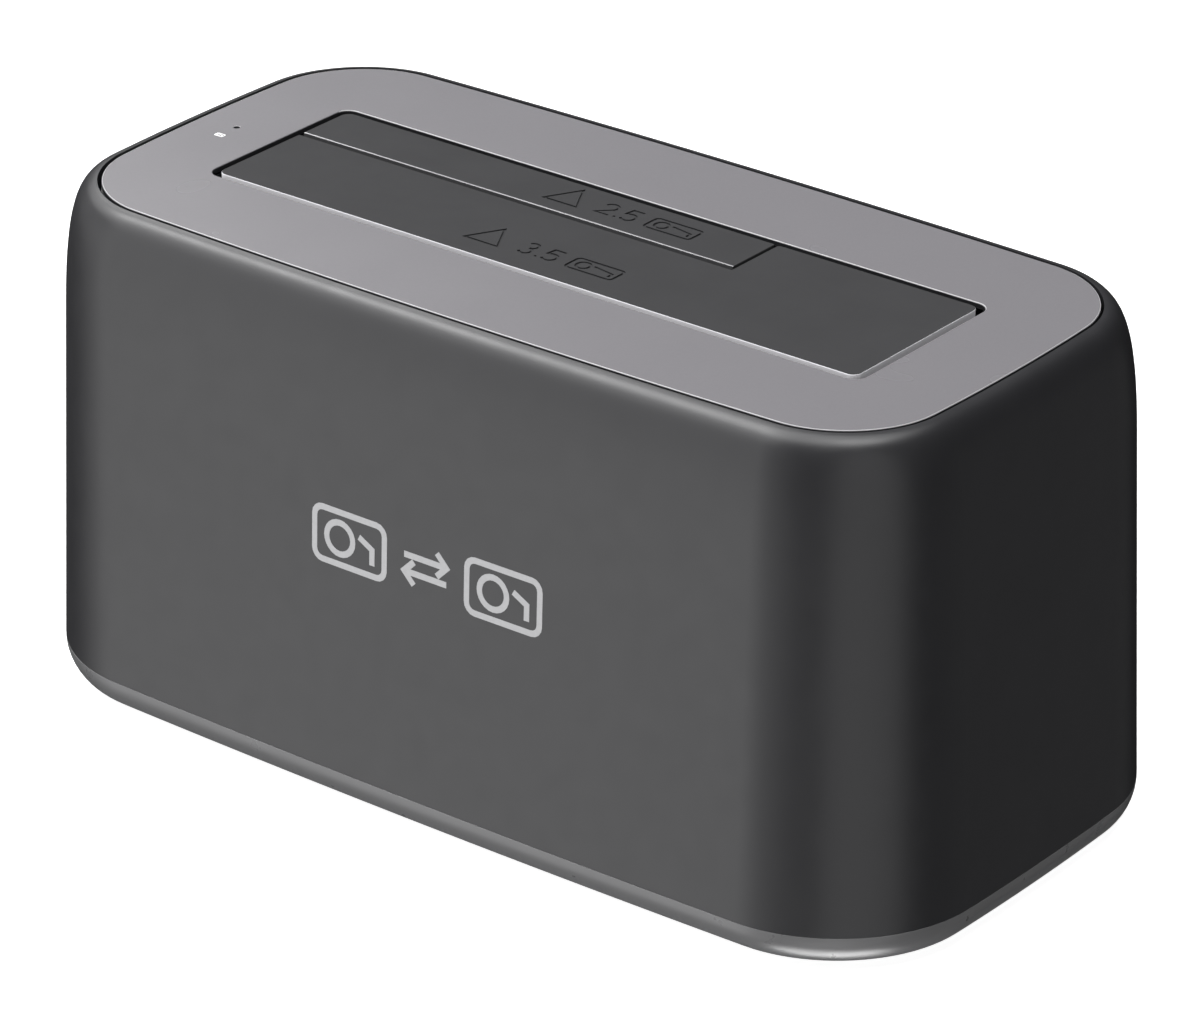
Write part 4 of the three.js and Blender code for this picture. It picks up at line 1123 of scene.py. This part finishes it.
# Round soft lights: name, azimuth, elevation, half width and half height in degrees, radiance.
LIGHTS = [("front_left_wash", -38, -8, 40, 48, 0.45),
          ("front_left_core", -40, -10, 20, 40, 1.2),
          ("right_wash", 56, -10, 24, 48, 0.9),
          ("left_high", -100, 40, 26, 20, 1.95),
          ("front_high", -50, 45, 24, 18, 2.3),
          ("overhead", 0, 85, 32, 32, 3.05),
          ("overhead_right", 60, 72, 14, 14, 4.5),
          ("left_fill", -80, 5, 20, 14, 0.43),
          ("back_fill", 140, -20, 30, 20, 0.11),
          ("low_fill", -15, -30, 30, 25, 0.31),
          ("edge_left", -95, 55, 14, 9, 4.2),
          ("low_right", 30, -45, 14, 10, 1.4),
          ("edge_strip", -68, 54, 22, 6, 7.5),
          ("table_back", 38, -80, 20, 11, 9.0),
          ("table_right", 120, -80, 12, 9, 1.5),
          ("plate_sheen", -130, 37, 7, 9, 4.2)]
LIGHT_DISTANCE = 1.5


def add_lights():
    """Large soft lights that face the object; the camera doesn't see them."""
    for name, azimuth, elevation, half_width, half_height, radiance in LIGHTS:
        light = bpy.data.lights.new(name, "AREA")
        light.shape = "ELLIPSE"
        light.size = 2 * LIGHT_DISTANCE * math.tan(math.radians(half_width))
        light.size_y = 2 * LIGHT_DISTANCE * math.tan(math.radians(half_height))
        area = light.size * light.size_y * math.pi / 4
        light.energy = radiance * math.pi * area
        lamp = bpy.data.objects.new(name, light)
        towards = direction(azimuth, elevation)
        lamp.location = towards * LIGHT_DISTANCE
        lamp.rotation_euler = (-towards).to_track_quat("-Z", "Y").to_euler()
        lamp.visible_camera = False
        bpy.context.scene.collection.objects.link(lamp)


def add_world():
    """A white surround for the camera and a dim even fill for the surfaces."""
    world = bpy.data.worlds.new("surround")
    world.use_nodes = True
    tree = world.node_tree
    shade = tree.nodes["Background"]
    seen = tree.nodes.new("ShaderNodeLightPath")
    level = tree.nodes.new("ShaderNodeMapRange")
    level.inputs["To Min"].default_value = 0.01
    level.inputs["To Max"].default_value = 1.0
    tree.links.new(seen.outputs["Is Camera Ray"], level.inputs["Value"])
    tree.links.new(level.outputs["Result"], shade.inputs["Strength"])
    shade.inputs["Color"].default_value = (1, 1, 1, 1)
    bpy.context.scene.world = world


def add_floor():
    """A plain pale table that lights itself and lets the light from below through."""
    half = 20
    bm = bmesh.new()
    corners = [(-half, -half), (half, -half), (half, half), (-half, half)]
    bm.faces.new([bm.verts.new((x, y, 0)) for x, y in corners])
    table = raw_object("table_top", bm)
    material = bpy.data.materials.new("table_white")
    material.use_nodes = True
    shader = material.node_tree.nodes["Principled BSDF"]
    shader.inputs["Base Color"].default_value = (0.5, 0.5, 0.5, 1)
    shader.inputs["Roughness"].default_value = 1
    shader.inputs["Specular IOR Level"].default_value = 0
    shader.inputs["Emission Color"].default_value = (1, 1, 1, 1)
    shader.inputs["Emission Strength"].default_value = 0.9
    table.data.materials.append(material)
    for ray in ("diffuse", "glossy", "transmission", "volume_scatter", "shadow"):
        setattr(table, f"visible_{ray}", False)


# ---- assembly --------------------------------------------

add_camera()
add_lights()
add_world()
add_floor()
bpy.context.scene.view_settings.view_transform = "Standard"

housing()
top_plate()
base_tray()
feet()
large_flap()
small_flap()
prints()
hinge_pin("large_flap_hinge_pin")
hinge_pin("small_flap_hinge_pin")
hinge_spring("large_flap_spring", "large_flap", PIN_FRONT, 1)
hinge_spring("small_flap_spring", "small_flap", PIN_BACK, -1)
screws()
power_jack()
power_button()
lamp()
board_parts()
finish_kept_nodes()
